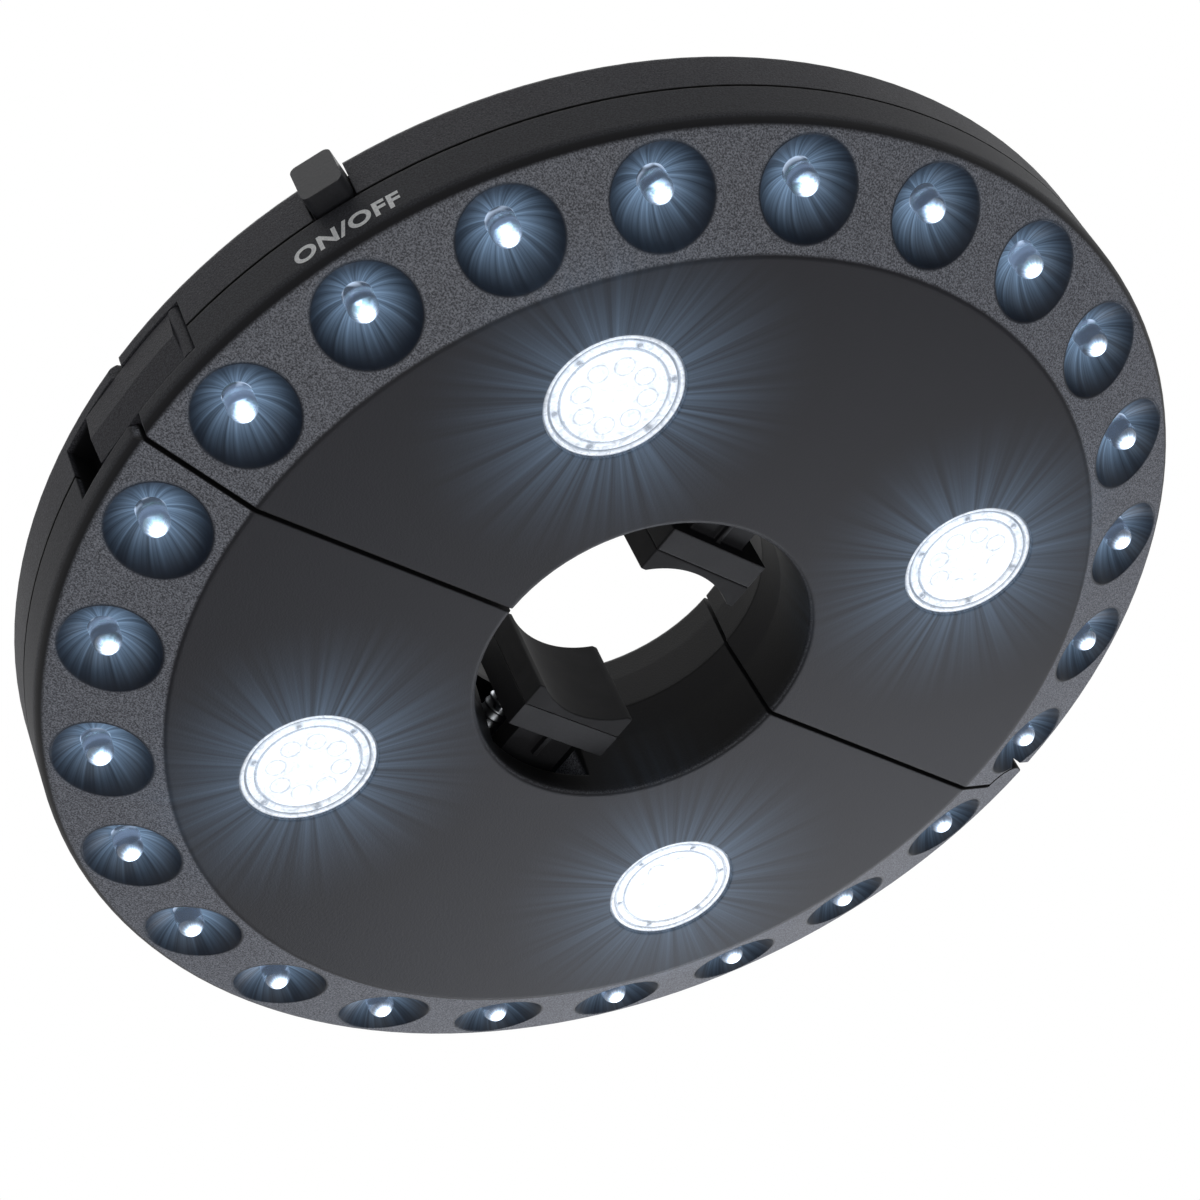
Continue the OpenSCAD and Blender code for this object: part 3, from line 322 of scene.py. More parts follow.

# the lit face: grained on its band and wall, nearly smooth and darker on the flat, polished in the craters,
# smoother in the opening and along its outer corner; the darker wall, corner and opening are painted shade
frontLook = dict(backLook, color="#424348", darker="#38393e", lighter="#989ba4", speckle=0.55, edge=0.5,
                 pocket=7.2 * mm, cornerAt=(104.35 * mm, -9.5 * mm, 0),
                 bowlRing=96.68 * mm, bowlLevel=-18.02 * mm, glowColor="#a9cdf5")
frontLook["openingEdge"] = {"From Min": 32.0 * mm, "From Max": 30.8 * mm}
frontLook["cornerEdge"] = {"From Min": 1.15 * mm, "From Max": 1.15 * mm / 3}
frontLook["bowlEdge"] = {"From Min": 10.13 * mm, "From Max": 9.65 * mm}
frontLook["flatEdge"] = {"From Min": -18.35 * mm, "From Max": -18.62 * mm}
frontLook["wallEdge"] = {"From Min": 104.2 * mm, "From Max": 104.8 * mm, "To Max": 0.85}
# painted shade: the side wall, the outer corner, the opening, the pockets, the seam and the split are drawn
# darker than the plastic
frontLook["zones"] = {"wall": ("#1c1c1f", 0.6, 0.3), "flat": ("#1b1b1f", 0.46, 0.75),
    "corner": ("#0f0f12", 0.5, 0.9), "opening": ("#060607", 0.5, 0.8), "pocket": ("#0c0c0e", 0.6, 0.5),
    "seam": ("#050506", 0.7, 0.5), "split": ("#101012", 0.65, 0.5), "bowl": ("#1a1e27", 0.36, 1.0)}
frontPlastic, frontShader, parts = grainedPlastic("absGrainedFront", frontLook)
height, outwardWay, masks = shellMasks(frontPlastic, parts["place"], frontLook)
onFlat = addNode(frontPlastic, "ShaderNodeMapRange", softEdge | frontLook["flatEdge"], {"Value": height})
fromBowl, _ = ringFold(frontPlastic, parts["place"], frontLook["bowlRing"], 15, frontLook["bowlLevel"])
inBowl = addNode(frontPlastic, "ShaderNodeMapRange", softEdge | frontLook["bowlEdge"], {"Value": fromBowl})
# painted light: the plastic round the small lights and the large lenses glows in its own emission, fading
# outward
smallGlow = {"ring": lightRing, "step": 15, "level": -12 * mm, "from": 3.2 * mm, "to": 10.2 * mm,
    "steep": 2.6, "glow": 0.5, "rays": 8.0}
largeGlow = {"ring": lampRing, "step": 90, "level": -18.7 * mm, "from": 12 * mm, "to": 38 * mm,
    "steep": 2.4, "glow": 0.13, "rays": 13.0}
glows = addNode(frontPlastic, "ShaderNodeMath", {"operation": "ADD"},
    {0: glowRound(frontPlastic, parts["place"], smallGlow),
        1: glowRound(frontPlastic, parts["place"], largeGlow)})
frontShader.inputs["Emission Color"].default_value = linearColor(frontLook["glowColor"])
join(frontPlastic, glows.outputs[0], frontShader.inputs["Emission Strength"])
# painted shade: the outer side wall is drawn darker than the band
onWall = addNode(frontPlastic, "ShaderNodeMapRange", softEdge | frontLook["wallEdge"], {"Value": outwardWay})
masks.update({"wall": onWall, "flat": onFlat, "bowl": inBowl})
layered(frontPlastic, frontShader, parts, frontLook, masks)

# the small mouldings come from a smoother mould: satin, with almost no grain
satinLook = {"color": "#232326", "darker": "#1c1c1f", "lighter": "#35353a", "roughness": 0.42,
    "grain": 0.5 * mm, "mottle": 6 * mm, "speckle": 0.2, "bump": 0.15, "edge": 0.15, "gloss": 0.3}
satinPlastic, _, _ = grainedPlastic("absSatinBlack", satinLook)
jawPlastic, _, _ = grainedPlastic("absSatinJaw", dict(satinLook, color="#151517", darker="#111113",
        lighter="#242427", roughness=0.52, gloss=0.14))
claspPlastic, _, _ = grainedPlastic("absGrainedClasp", dict(backLook, color="#242428", darker="#1f1f23",
        lighter="#505056", edge=0.1))
buttonPlastic, _, _ = grainedPlastic("absSatinButton", dict(satinLook, color="#28292c", roughness=0.38))

# thermoplastic rubber of the grip pads: dull, with dusty patches
rubberLook = {"color": "#18181a", "dusty": "#2e2e30", "roughness": 0.78, "pores": 0.25 * mm}
gripRubber, rubberShader = startMaterial("tpeGripRubber",
    {"Roughness": rubberLook["roughness"], "IOR": 1.5, "Specular IOR Level": 0.2, "Sheen Weight": 0.05})
place = addNode(gripRubber, "ShaderNodeTexCoord")
pores = addNode(gripRubber, "ShaderNodeTexNoise", {"Scale": 1 / rubberLook["pores"], "Detail": 3.0},
    {"Vector": place.outputs["Object"]})
dustiness = addNode(gripRubber, "ShaderNodeTexNoise", {"Scale": 180.0, "Detail": 4.0},
    {"Vector": place.outputs["Object"]})
dustMask = addNode(gripRubber, "ShaderNodeMapRange", {"From Min": 0.45, "From Max": 0.8, "To Max": 0.5},
    {"Value": dustiness.outputs["Fac"]})
tone = addNode(gripRubber, "ShaderNodeMix", {"data_type": "RGBA", 6: linearColor(rubberLook["color"]),
        7: linearColor(rubberLook["dusty"])}, {0: dustMask})
bump = addNode(gripRubber, "ShaderNodeBump", {"Strength": 0.4, "Distance": 0.04 * mm},
    {"Height": pores.outputs["Fac"]})
join(gripRubber, tone.outputs[2], rubberShader.inputs["Base Color"])
join(gripRubber, bump.outputs[0], rubberShader.inputs["Normal"])

# cast acrylic of the large lenses, lit from behind: burnt out over the optic,
# dark refracted lines where it steps
lensLook = {"tint": "#7f8b9a", "ring": lampRing, "outer": 13.2 * mm, "glow": 1.15, "lensletRing": 5.9 * mm,
    "lensletRadius": 1.75 * mm, "clipRing": 10.2 * mm,
    "levels": ((0.0, 1.0), (8.95, 0.95), (9.25, 0.2), (9.5, 0.24), (9.75, 0.85), (10.7, 0.8), (10.95, 0.12),
        (11.2, 0.14), (11.45, 0.85), (11.85, 0.6), (12.05, 0.12))}
clearAcrylic, lensShader = startMaterial("acrylicLens", {"Base Color": linearColor(lensLook["tint"]),
        "Roughness": 0.04, "IOR": 1.49, "Transmission Weight": 0.35,
        "Emission Color": linearColor("#f3f8ff")})
place = addNode(clearAcrylic, "ShaderNodeTexCoord")
fromLamp, onOptic = ringFold(clearAcrylic, place.outputs["Object"], lensLook["ring"], 90, None)
fromLenslet, _ = ringFold(clearAcrylic, onOptic, lensLook["lensletRing"], 45, None)
fromClip, _ = ringFold(clearAcrylic, onOptic, lensLook["clipRing"], 60, None)
share = addNode(clearAcrylic, "ShaderNodeMath", {"operation": "DIVIDE", 1: lensLook["outer"]}, {0: fromLamp})
steps = addNode(clearAcrylic, "ShaderNodeValToRGB", {}, {0: share})
for i, (radius, level) in enumerate(lensLook["levels"]):
    stop = steps.color_ramp.elements[i] if i < 2 else steps.color_ramp.elements.new(1.0)
    stop.position = radius * mm / lensLook["outer"]
    stop.color = (level, level, level, 1)
swirl = addNode(clearAcrylic, "ShaderNodeTexNoise", {"Scale": 700.0, "Detail": 1.0,
        "Distortion": 1.5}, {"Vector": place.outputs["Object"]})
swirlShare = addNode(clearAcrylic, "ShaderNodeMapRange",
    {"From Min": 0.3, "From Max": 0.6, "To Min": 0.62, "To Max": 1.0}, {"Value": swirl.outputs["Fac"]})
glow = addNode(clearAcrylic, "ShaderNodeMath", {"operation": "MULTIPLY"}, {0: steps, 1: swirlShare})
offEdge = addNode(clearAcrylic, "ShaderNodeMath", {"operation": "SUBTRACT", 1: lensLook["lensletRadius"]},
    {0: fromLenslet})
offEdge = addNode(clearAcrylic, "ShaderNodeMath", {"operation": "ABSOLUTE"}, {0: offEdge})
outline = addNode(clearAcrylic, "ShaderNodeMapRange", {"From Max": 0.3 * mm, "To Min": 0.52, "To Max": 1.0},
    {"Value": offEdge})
clipShade = addNode(clearAcrylic, "ShaderNodeMapRange", {"From Min": 0.45 * mm, "From Max": 1.0 * mm,
        "To Min": 0.35, "To Max": 1.0}, {"Value": fromClip})
for shade in (outline, clipShade):
    glow = addNode(clearAcrylic, "ShaderNodeMath", {"operation": "MULTIPLY"}, {0: glow, 1: shade})
glow = addNode(clearAcrylic, "ShaderNodeMath", {"operation": "MULTIPLY", 1: lensLook["glow"]}, {0: glow})
join(clearAcrylic, glow.outputs[0], lensShader.inputs["Emission Strength"])

# clear epoxy of the small 5 mm lights: a hot spot over the chip, clear glassy sides
epoxyLook = {"ring": lightRing, "step": 15, "level": None, "from": 0.0, "to": 2.6 * mm, "steep": 4.2,
    "glow": 40.0, "rays": 5.0, "body": 0.07, "base": 0.7, "baseFrom": -9.9 * mm, "baseTo": -8.7 * mm,
    "glints": 2 * mm}
litEpoxy, epoxyShader = startMaterial("epoxySmallLight",
    {"Base Color": linearColor("#4e5a6b"), "Roughness": 0.05, "IOR": 1.52, "Transmission Weight": 0.7,
        "Emission Color": linearColor("#cfe3ff")})
place = addNode(litEpoxy, "ShaderNodeTexCoord")
litLevel = addNode(litEpoxy, "ShaderNodeMath", {"operation": "ADD", 1: epoxyLook["body"]},
    {0: glowRound(litEpoxy, place.outputs["Object"], epoxyLook)})
# painted highlight: broken glints drawn in the emission where the body meets its bowl
apart = addNode(litEpoxy, "ShaderNodeSeparateXYZ", {}, {0: place.outputs["Object"]})
nearBase = addNode(litEpoxy, "ShaderNodeMapRange", {"From Min": epoxyLook["baseFrom"],
        "From Max": epoxyLook["baseTo"]}, {"Value": apart.outputs[2]})
broken = addNode(litEpoxy, "ShaderNodeTexNoise", {"Scale": 1 / epoxyLook["glints"], "Detail": 0.0},
    {"Vector": place.outputs["Object"]})
glints = addNode(litEpoxy, "ShaderNodeMapRange", {"From Min": 0.45, "From Max": 0.62,
        "To Max": epoxyLook["base"]}, {"Value": broken.outputs["Fac"]})
glints = addNode(litEpoxy, "ShaderNodeMath", {"operation": "MULTIPLY"}, {0: glints, 1: nearBase})
litLevel = addNode(litEpoxy, "ShaderNodeMath", {"operation": "ADD"}, {0: litLevel, 1: glints})
join(litEpoxy, litLevel.outputs[0], epoxyShader.inputs["Emission Strength"])

# glossy white styrene of the reflector cups behind the lenses
reflectorWhite, _, _ = grainedPlastic("styreneReflector",
    {"gloss": 0.5, "color": "#eceded", "darker": "#dfe1e2", "lighter": "#f6f6f6", "roughness": 0.25,
        "grain": 0.8 * mm, "mottle": 9 * mm, "speckle": 0.2, "bump": 0.05})

# yellow phosphor under silicone on the large emitters, lit
phosphor, phosphorShader = startMaterial("phosphorEmitter",
    {"Base Color": linearColor("#f1da6a"), "Roughness": 0.2, "IOR": 1.41,
        "Emission Color": linearColor("#fff6dc"), "Coat Weight": 0.5})
place = addNode(phosphor, "ShaderNodeTexCoord")
fromMiddle, _ = ringFold(phosphor, place.outputs["Object"], lampRing, 90, None)
lit = addNode(phosphor, "ShaderNodeMapRange", {"From Min": 1.7 * mm, "From Max": 2.1 * mm, "To Min": 3.0,
        "To Max": 0.0}, {"Value": fromMiddle})
grit = addNode(phosphor, "ShaderNodeTexNoise", {"Scale": 6000.0},
    {"Vector": place.outputs["Object"]})
gritBump = addNode(phosphor, "ShaderNodeBump", {"Strength": 0.2, "Distance": 0.02 * mm},
    {"Height": grit.outputs["Fac"]})
join(phosphor, lit.outputs[0], phosphorShader.inputs["Emission Strength"])
join(phosphor, gritBump.outputs[0], phosphorShader.inputs["Normal"])


def circuitBoard(name, look):
    # glass-epoxy board under solder mask: etched tracks show as low ridges, pads as tinned spots
    material, shader = startMaterial(name, {"Roughness": 0.35, "IOR": 1.55, "Coat Weight": 0.3})
    place = addNode(material, "ShaderNodeTexCoord")
    tracks = addNode(material, "ShaderNodeTexBrick", {"offset": 0.5, "Scale": 1.0, "Mortar Size": 0.25 * mm,
            "Brick Width": look["pitch"] * 5, "Row Height": look["pitch"], "Color1": (0, 0, 0, 1),
            "Color2": (0, 0, 0, 1), "Mortar": (1, 1, 1, 1), "Mortar Smooth": 0.1},
        {"Vector": place.outputs["Object"]})
    spots = addNode(material, "ShaderNodeTexVoronoi", {"feature": "F1", "Scale": 1 / look["padPitch"],
            "Randomness": 0.35}, {"Vector": place.outputs["Object"]})
    pads = addNode(material, "ShaderNodeMath", {"operation": "LESS_THAN", 1: 0.17},
        {0: spots.outputs["Distance"]})
    weave = addNode(material, "ShaderNodeTexNoise", {"Scale": 900.0, "Detail": 2.0},
        {"Vector": place.outputs["Object"]})
    mask = addNode(material, "ShaderNodeMix", {"data_type": "RGBA", 6: linearColor(look["mask"]),
            7: linearColor(look["track"])}, {0: tracks.outputs["Fac"]})
    cloudy = addNode(material, "ShaderNodeMix", {"data_type": "RGBA", "blend_type": "MULTIPLY", 0: 0.3},
                     {6: mask.outputs[2], 7: weave.outputs["Color"]})
    tinned = addNode(material, "ShaderNodeMix", {"data_type": "RGBA", 7: linearColor("#c9c6bd")},
        {0: pads, 6: cloudy.outputs[2]})
    bump = addNode(material, "ShaderNodeBump", {"Strength": 0.5, "Distance": 0.05 * mm},
        {"Height": tracks.outputs["Fac"]})
    join(material, tinned.outputs[2], shader.inputs["Base Color"])
    join(material, pads.outputs[0], shader.inputs["Metallic"])
    join(material, bump.outputs[0], shader.inputs["Normal"])
    return material


greenBoard = circuitBoard("glassEpoxyBoard", {"mask": "#14532b", "track": "#2a7a45", "pitch": 1.6 * mm,
        "padPitch": 3.4 * mm})
lampBoard = circuitBoard("aluminiumLampBoard", {"mask": "#dfe1dc", "track": "#c6c9c4", "pitch": 3.0 * mm,
        "padPitch": 6.0 * mm})


def platedMetal(name, look):
    # worked metal: a base tone, faint tool marks along one axis and a few dull patches
    material, shader = startMaterial(name, {"Metallic": 1.0, "Roughness": look["roughness"]})
    place = addNode(material, "ShaderNodeTexCoord")
    stretch = addNode(material, "ShaderNodeMapping", {"Scale": look["marks"]},
        {"Vector": place.outputs["Object"]})
    marks = addNode(material, "ShaderNodeTexNoise", {"Scale": 1.0, "Detail": 3.0}, {"Vector": stretch})
    patches = addNode(material, "ShaderNodeTexNoise", {"Scale": 350.0, "Detail": 3.0},
        {"Vector": place.outputs["Object"]})
    tone = addNode(material, "ShaderNodeMix", {"data_type": "RGBA", 6: linearColor(look["color"]),
            7: linearColor(look["dull"])}, {0: patches.outputs["Fac"]})
    rough = addNode(material, "ShaderNodeMapRange", {"To Min": look["roughness"] - 0.07,
            "To Max": look["roughness"] + 0.13}, {"Value": patches.outputs["Fac"]})
    bump = addNode(material, "ShaderNodeBump", {"Strength": 0.25, "Distance": 0.02 * mm},
        {"Height": marks.outputs["Fac"]})
    join(material, tone.outputs[2], shader.inputs["Base Color"])
    join(material, rough.outputs[0], shader.inputs["Roughness"])
    join(material, bump.outputs[0], shader.inputs["Normal"])
    return material


zincSteel = platedMetal("zincPlatedSteel", {"color": "#b9bdc2", "dull": "#989ca1", "roughness": 0.34,
        "marks": (3000, 3000, 400)})
pinSteel = platedMetal("drawnPinSteel", {"color": "#c9ccd0", "dull": "#aeb2b6", "roughness": 0.24,
        "marks": (4000, 4000, 300)})
springSteel = platedMetal("musicWireSpring", {"color": "#a9adb2", "dull": "#84888d", "roughness": 0.28,
        "marks": (2500, 2500, 2500)})
nickelStrip = platedMetal("nickelPlatedStrip", {"color": "#cfc9bd", "dull": "#b3ac9f", "roughness": 0.27,
        "marks": (2000, 300, 2000)})

# shrink sleeve of the cells: glossy dark film over the can, a copper-coloured band at the button end,
# bare steel ends
cellLook = {"film": "#22262b", "band": "#b0642c", "steel": "#c4c7ca", "sleeve": (-22.3 * mm, 26.1 * mm),
    "bandFrom": 17.5 * mm, "turnedPast": 65.6 * mm}
cellSleeve, cellShader = startMaterial("cellShrinkSleeve", {"IOR": 1.5})
place = addNode(cellSleeve, "ShaderNodeTexCoord")
apart = addNode(cellSleeve, "ShaderNodeSeparateXYZ", {}, {0: place.outputs["Object"]})
# the outer cell of a pair lies the other way round
faraway = addNode(cellSleeve, "ShaderNodeMath", {"operation": "ABSOLUTE"}, {0: apart.outputs[1]})
turned = addNode(cellSleeve, "ShaderNodeMath", {"operation": "GREATER_THAN", 1: cellLook["turnedPast"]},
    {0: faraway})
way = addNode(cellSleeve, "ShaderNodeMapRange", {"To Min": 1.0, "To Max": -1.0}, {"Value": turned})
along = addNode(cellSleeve, "ShaderNodeMath", {"operation": "MULTIPLY"}, {0: apart, 1: way})
banded = addNode(cellSleeve, "ShaderNodeMath", {"operation": "GREATER_THAN", 1: cellLook["bandFrom"]},
    {0: along})
pastSleeve = addNode(cellSleeve, "ShaderNodeMath", {"operation": "GREATER_THAN", 1: cellLook["sleeve"][1]},
    {0: along})
beforeSleeve = addNode(cellSleeve, "ShaderNodeMath", {"operation": "LESS_THAN", 1: cellLook["sleeve"][0]},
    {0: along})
bare = addNode(cellSleeve, "ShaderNodeMath", {"operation": "MAXIMUM"}, {0: pastSleeve, 1: beforeSleeve})
film = addNode(cellSleeve, "ShaderNodeMix", {"data_type": "RGBA", 6: linearColor(cellLook["film"]),
        7: linearColor(cellLook["band"])}, {0: banded})
skin = addNode(cellSleeve, "ShaderNodeMix", {"data_type": "RGBA", 7: linearColor(cellLook["steel"])},
    {0: bare, 6: film.outputs[2]})
wrinkles = addNode(cellSleeve, "ShaderNodeTexNoise", {"Scale": 260.0, "Detail": 2.0},
    {"Vector": place.outputs["Object"]})
bump = addNode(cellSleeve, "ShaderNodeBump", {"Strength": 0.15, "Distance": 0.1 * mm},
    {"Height": wrinkles.outputs["Fac"]})
shine = addNode(cellSleeve, "ShaderNodeMapRange", {"To Min": 0.2, "To Max": 0.33},
    {"Value": wrinkles.outputs["Fac"]})
join(cellSleeve, skin.outputs[2], cellShader.inputs["Base Color"])
join(cellSleeve, bare.outputs[0], cellShader.inputs["Metallic"])
join(cellSleeve, shine.outputs[0], cellShader.inputs["Roughness"])
join(cellSleeve, bump.outputs[0], cellShader.inputs["Normal"])

switchWhite, _, _ = grainedPlastic("nylonPlunger", {"gloss": 0.5, "color": "#e6e0cf", "darker": "#dad3bf",
        "lighter": "#f2eee2", "roughness": 0.4, "grain": 0.3 * mm, "mottle": 2 * mm, "speckle": 0.3,
        "bump": 0.1})
switchBlack, _, _ = grainedPlastic("phenolicSwitch", {"gloss": 0.5, "color": "#1b1c1f", "darker": "#141518",
        "lighter": "#2c2d31", "roughness": 0.45, "grain": 0.3 * mm, "mottle": 2 * mm, "speckle": 0.3,
        "bump": 0.15})
# pad-printed legend ink: matt white, a little thin over the grain
legendInk, inkShader = startMaterial("padPrintInk", {"Roughness": 0.55, "IOR": 1.5})
place = addNode(legendInk, "ShaderNodeTexCoord")
thin = addNode(legendInk, "ShaderNodeTexNoise", {"Scale": 2600.0, "Detail": 2.0},
    {"Vector": place.outputs["Object"]})
thinMask = addNode(legendInk, "ShaderNodeMapRange", {"From Min": 0.3, "From Max": 0.75},
    {"Value": thin.outputs["Fac"]})
tone = addNode(legendInk, "ShaderNodeMix", {"data_type": "RGBA", 6: linearColor("#f4f4f2"),
        7: linearColor("#cfd0d2")}, {0: thinMask})
join(legendInk, tone.outputs[2], inkShader.inputs["Base Color"])

nodeFinishes = {"clasp_pin": pinSteel, "hinge_pin": pinSteel, "clasp": satinPlastic, "button": buttonPlastic,
                "switch_board": greenBoard, "switch_plunger": switchWhite, "switch_body": switchBlack}
bothHalves = {"front_shell": frontPlastic, "back_shell": backPlastic, "battery_door": backPlastic,
    "hook": satinPlastic, "hook_pin": pinSteel, "case_screws": zincSteel, "door_screw": zincSteel,
    "lenses": clearAcrylic, "lens_holders": reflectorWhite, "lamp_emitters": phosphor,
    "lamp_boards": lampBoard, "ring_board": greenBoard, "ring_leds": litEpoxy, "cells": cellSleeve,
    "contact_plates": nickelStrip, "contact_springs": springSteel, "jaw": jawPlastic, "jaw_pad": gripRubber,
    "jaw_springs": springSteel}
for name, finish in bothHalves.items():
    nodeFinishes.update({name + "_a": finish, name + "_b": finish})
for name, finish in nodeFinishes.items():
    nodes[name].data.materials.clear()
    nodes[name].data.materials.append(finish)
print("materials made and given to", len(nodeFinishes), "nodes")


def onlySelect(piece):
    bpy.ops.object.select_all(action="DESELECT")
    piece.select_set(True)
    bpy.context.view_layer.objects.active = piece


def settle(piece):
    # the piece's place goes into its mesh
    onlySelect(piece)
    bpy.ops.object.transform_apply(location=True, rotation=True, scale=True)


def turnedSolid(name, profile, sides):
    # a filled circle, drawn out ring by ring along Z and scaled to each radius of the profile
    radius, level = profile[0]
    bpy.ops.object.select_all(action="DESELECT")
    bpy.ops.mesh.primitive_circle_add(vertices=sides, radius=radius, fill_type="NGON", location=(0, 0, level))
    piece = bpy.context.active_object
    piece.name = name
    settle(piece)
    bpy.ops.object.mode_set(mode="EDIT")
    bpy.ops.mesh.select_all(action="SELECT")
    for nextRadius, nextLevel in profile[1:]:
        bpy.ops.mesh.extrude_region_move(TRANSFORM_OT_translate={"value": (0, 0, nextLevel - level)})
        bpy.ops.transform.resize(value=(nextRadius / radius, nextRadius / radius, 1))
        radius, level = nextRadius, nextLevel
    bpy.ops.mesh.select_all(action="SELECT")
    bpy.ops.mesh.normals_make_consistent(inside=False)
    bpy.ops.object.mode_set(mode="OBJECT")
    return piece


def copyOf(piece, name):
    # a copy with a mesh of its own
    onlySelect(piece)
    bpy.ops.object.duplicate(linked=False)
    copy = bpy.context.active_object
    copy.name = name
    return copy


def joined(pieces, name):
    bpy.ops.object.select_all(action="DESELECT")
    for piece in pieces:
        piece.select_set(True)
    bpy.context.view_layer.objects.active = pieces[0]
    bpy.ops.object.join()
    pieces[0].name = name
    return pieces[0]


def finishPiece(piece, material, body, replaced, smoothAngle=40):
    piece.data.materials.clear()
    piece.data.materials.append(material)
    settle(piece)
    bpy.ops.object.shade_smooth_by_angle(angle=math.radians(smoothAngle))
    if body:
        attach(piece, body)
    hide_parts(*replaced)


def mirroredCopy(piece, name):
    # the same piece on the other half, across the XZ plane
    copy = copyOf(piece, name)
    copy.scale.y = -1
    settle(copy)
    bpy.ops.object.mode_set(mode="EDIT")
    bpy.ops.mesh.select_all(action="SELECT")
    bpy.ops.mesh.normals_make_consistent(inside=False)
    bpy.ops.object.mode_set(mode="OBJECT")
    return copy


smallLight = {"ring": lightRing, "radius": 2.5 * mm, "flange": 2.75 * mm, "top": -5.9 * mm,
    "flangeLow": -6.7 * mm, "domeFrom": -12 * mm, "sides": 32, "domeSteps": 8, "domeEnd": 86, "count": 12,
    "step": 15, "edge": 0.1 * mm, "neck": 0.02 * mm}
profile = [(smallLight["flange"] - smallLight["edge"], smallLight["top"]),
           (smallLight["flange"], smallLight["top"] - smallLight["edge"]),
           (smallLight["flange"], smallLight["flangeLow"] + smallLight["edge"]),
           (smallLight["flange"] - smallLight["edge"], smallLight["flangeLow"]),
           (smallLight["radius"], smallLight["flangeLow"] - smallLight["neck"]),
           (smallLight["radius"], smallLight["domeFrom"])]
for step in range(1, smallLight["domeSteps"] + 1):
    angle = math.radians(smallLight["domeEnd"]) * step / smallLight["domeSteps"]
    profile.append((smallLight["radius"] * math.cos(angle),
                    smallLight["domeFrom"] - smallLight["radius"] * math.sin(angle)))
oneLight = turnedSolid("oneSmallLight", profile, smallLight["sides"])
lights = []
for i in range(smallLight["count"]):
    angle = math.radians((i + 0.5) * smallLight["step"])
    light = copyOf(oneLight, f"light{i}")
    light.location = (smallLight["ring"] * math.cos(angle), smallLight["ring"] * math.sin(angle), 0)
    settle(light)
    lights.append(light)
bpy.data.objects.remove(oneLight)
ringLightsB = joined(lights, "ring_lights_b")
ringLightsA = mirroredCopy(ringLightsB, "ring_lights_a")
finishPiece(ringLightsB, litEpoxy, "half_b", ["ring_leds_b"])
finishPiece(ringLightsA, litEpoxy, "half_a", ["ring_leds_a"])
print("small lights made")


lensPiece = {"ring": lampRing, "sides": 96, "angles": (45, 135), "lenslets": 8, "lensletRing": 5.9 * mm,
    "lensletRadius": 1.75 * mm, "profile": [(2.3, -13.3), (2.3, -10.4), (4.0, -10.4), (10.0, -16.2),
        (13.15, -16.2), (13.15, -17.5), (12.15, -17.5), (12.15, -18.05), (12.05, -18.22), (11.85, -18.3),
        (11.45, -18.3), (11.3, -17.95), (10.85, -17.95), (10.7, -18.3), (9.75, -18.3), (9.6, -18.0),
        (9.35, -18.0), (9.2, -18.15), (8.6, -18.2), (4.0, -18.22), (0.5, -18.22)],
    "lensletLevel": -18.1 * mm, "lensletRise": 0.18 * mm, "lensletSides": 24, "middleScale": 1.5,
    "clips": 6, "clipRing": 10.2 * mm, "clipProfile": [(0.55, -18.25), (0.55, -18.38), (0.4, -18.42)]}
oneLens = turnedSolid("oneLens", [(r * mm, z * mm) for r, z in lensPiece["profile"]], lensPiece["sides"])
onLens = [oneLens]
lensletProfile = [(lensPiece["lensletRadius"] * math.cos(math.radians(a)),
                   lensPiece["lensletLevel"] - lensPiece["lensletRise"] * math.sin(math.radians(a)))
                  for a in (0, 20, 40, 60, 75, 86)]
for i in range(lensPiece["lenslets"]):
    angle = math.radians(360 * (i + 0.5) / lensPiece["lenslets"])
    lenslet = turnedSolid(f"lenslet{i}", lensletProfile, lensPiece["lensletSides"])
    lenslet.location = (lensPiece["lensletRing"] * math.cos(angle),
        lensPiece["lensletRing"] * math.sin(angle), 0)
    settle(lenslet)
    onLens.append(lenslet)
middle = turnedSolid("lensletMiddle", [(r * lensPiece["middleScale"], z) for r, z in lensletProfile],
                     lensPiece["lensletSides"])
onLens.append(middle)
for i in range(lensPiece["clips"]):
    # small moulded clips in the ring round the optic
    angle = 360 / lensPiece["clips"] * (i + 0.5)
    clip = turnedSolid(f"clip{i}", [(r * mm, z * mm) for r, z in lensPiece["clipProfile"]], 4)
    clip.location = (lensPiece["clipRing"] * math.cos(math.radians(angle)),
        lensPiece["clipRing"] * math.sin(math.radians(angle)), 0)
    clip.rotation_euler.z = math.radians(angle + 45)
    settle(clip)
    onLens.append(clip)
oneLens = joined(onLens, "oneLens")
halfLenses = []
for angle in lensPiece["angles"]:
    lens = copyOf(oneLens, f"lens{angle}")
    lens.location = (lensPiece["ring"] * math.cos(math.radians(angle)),
        lensPiece["ring"] * math.sin(math.radians(angle)), 0)
    lens.rotation_euler.z = math.radians(angle)
    settle(lens)
    halfLenses.append(lens)
bpy.data.objects.remove(oneLens)
lensesB = joined(halfLenses, "large_lenses_b")
lensesA = mirroredCopy(lensesB, "large_lenses_a")
finishPiece(lensesB, clearAcrylic, "half_b", ["lenses_b"], 30)
finishPiece(lensesA, clearAcrylic, "half_a", ["lenses_a"], 30)
print("large lenses made")


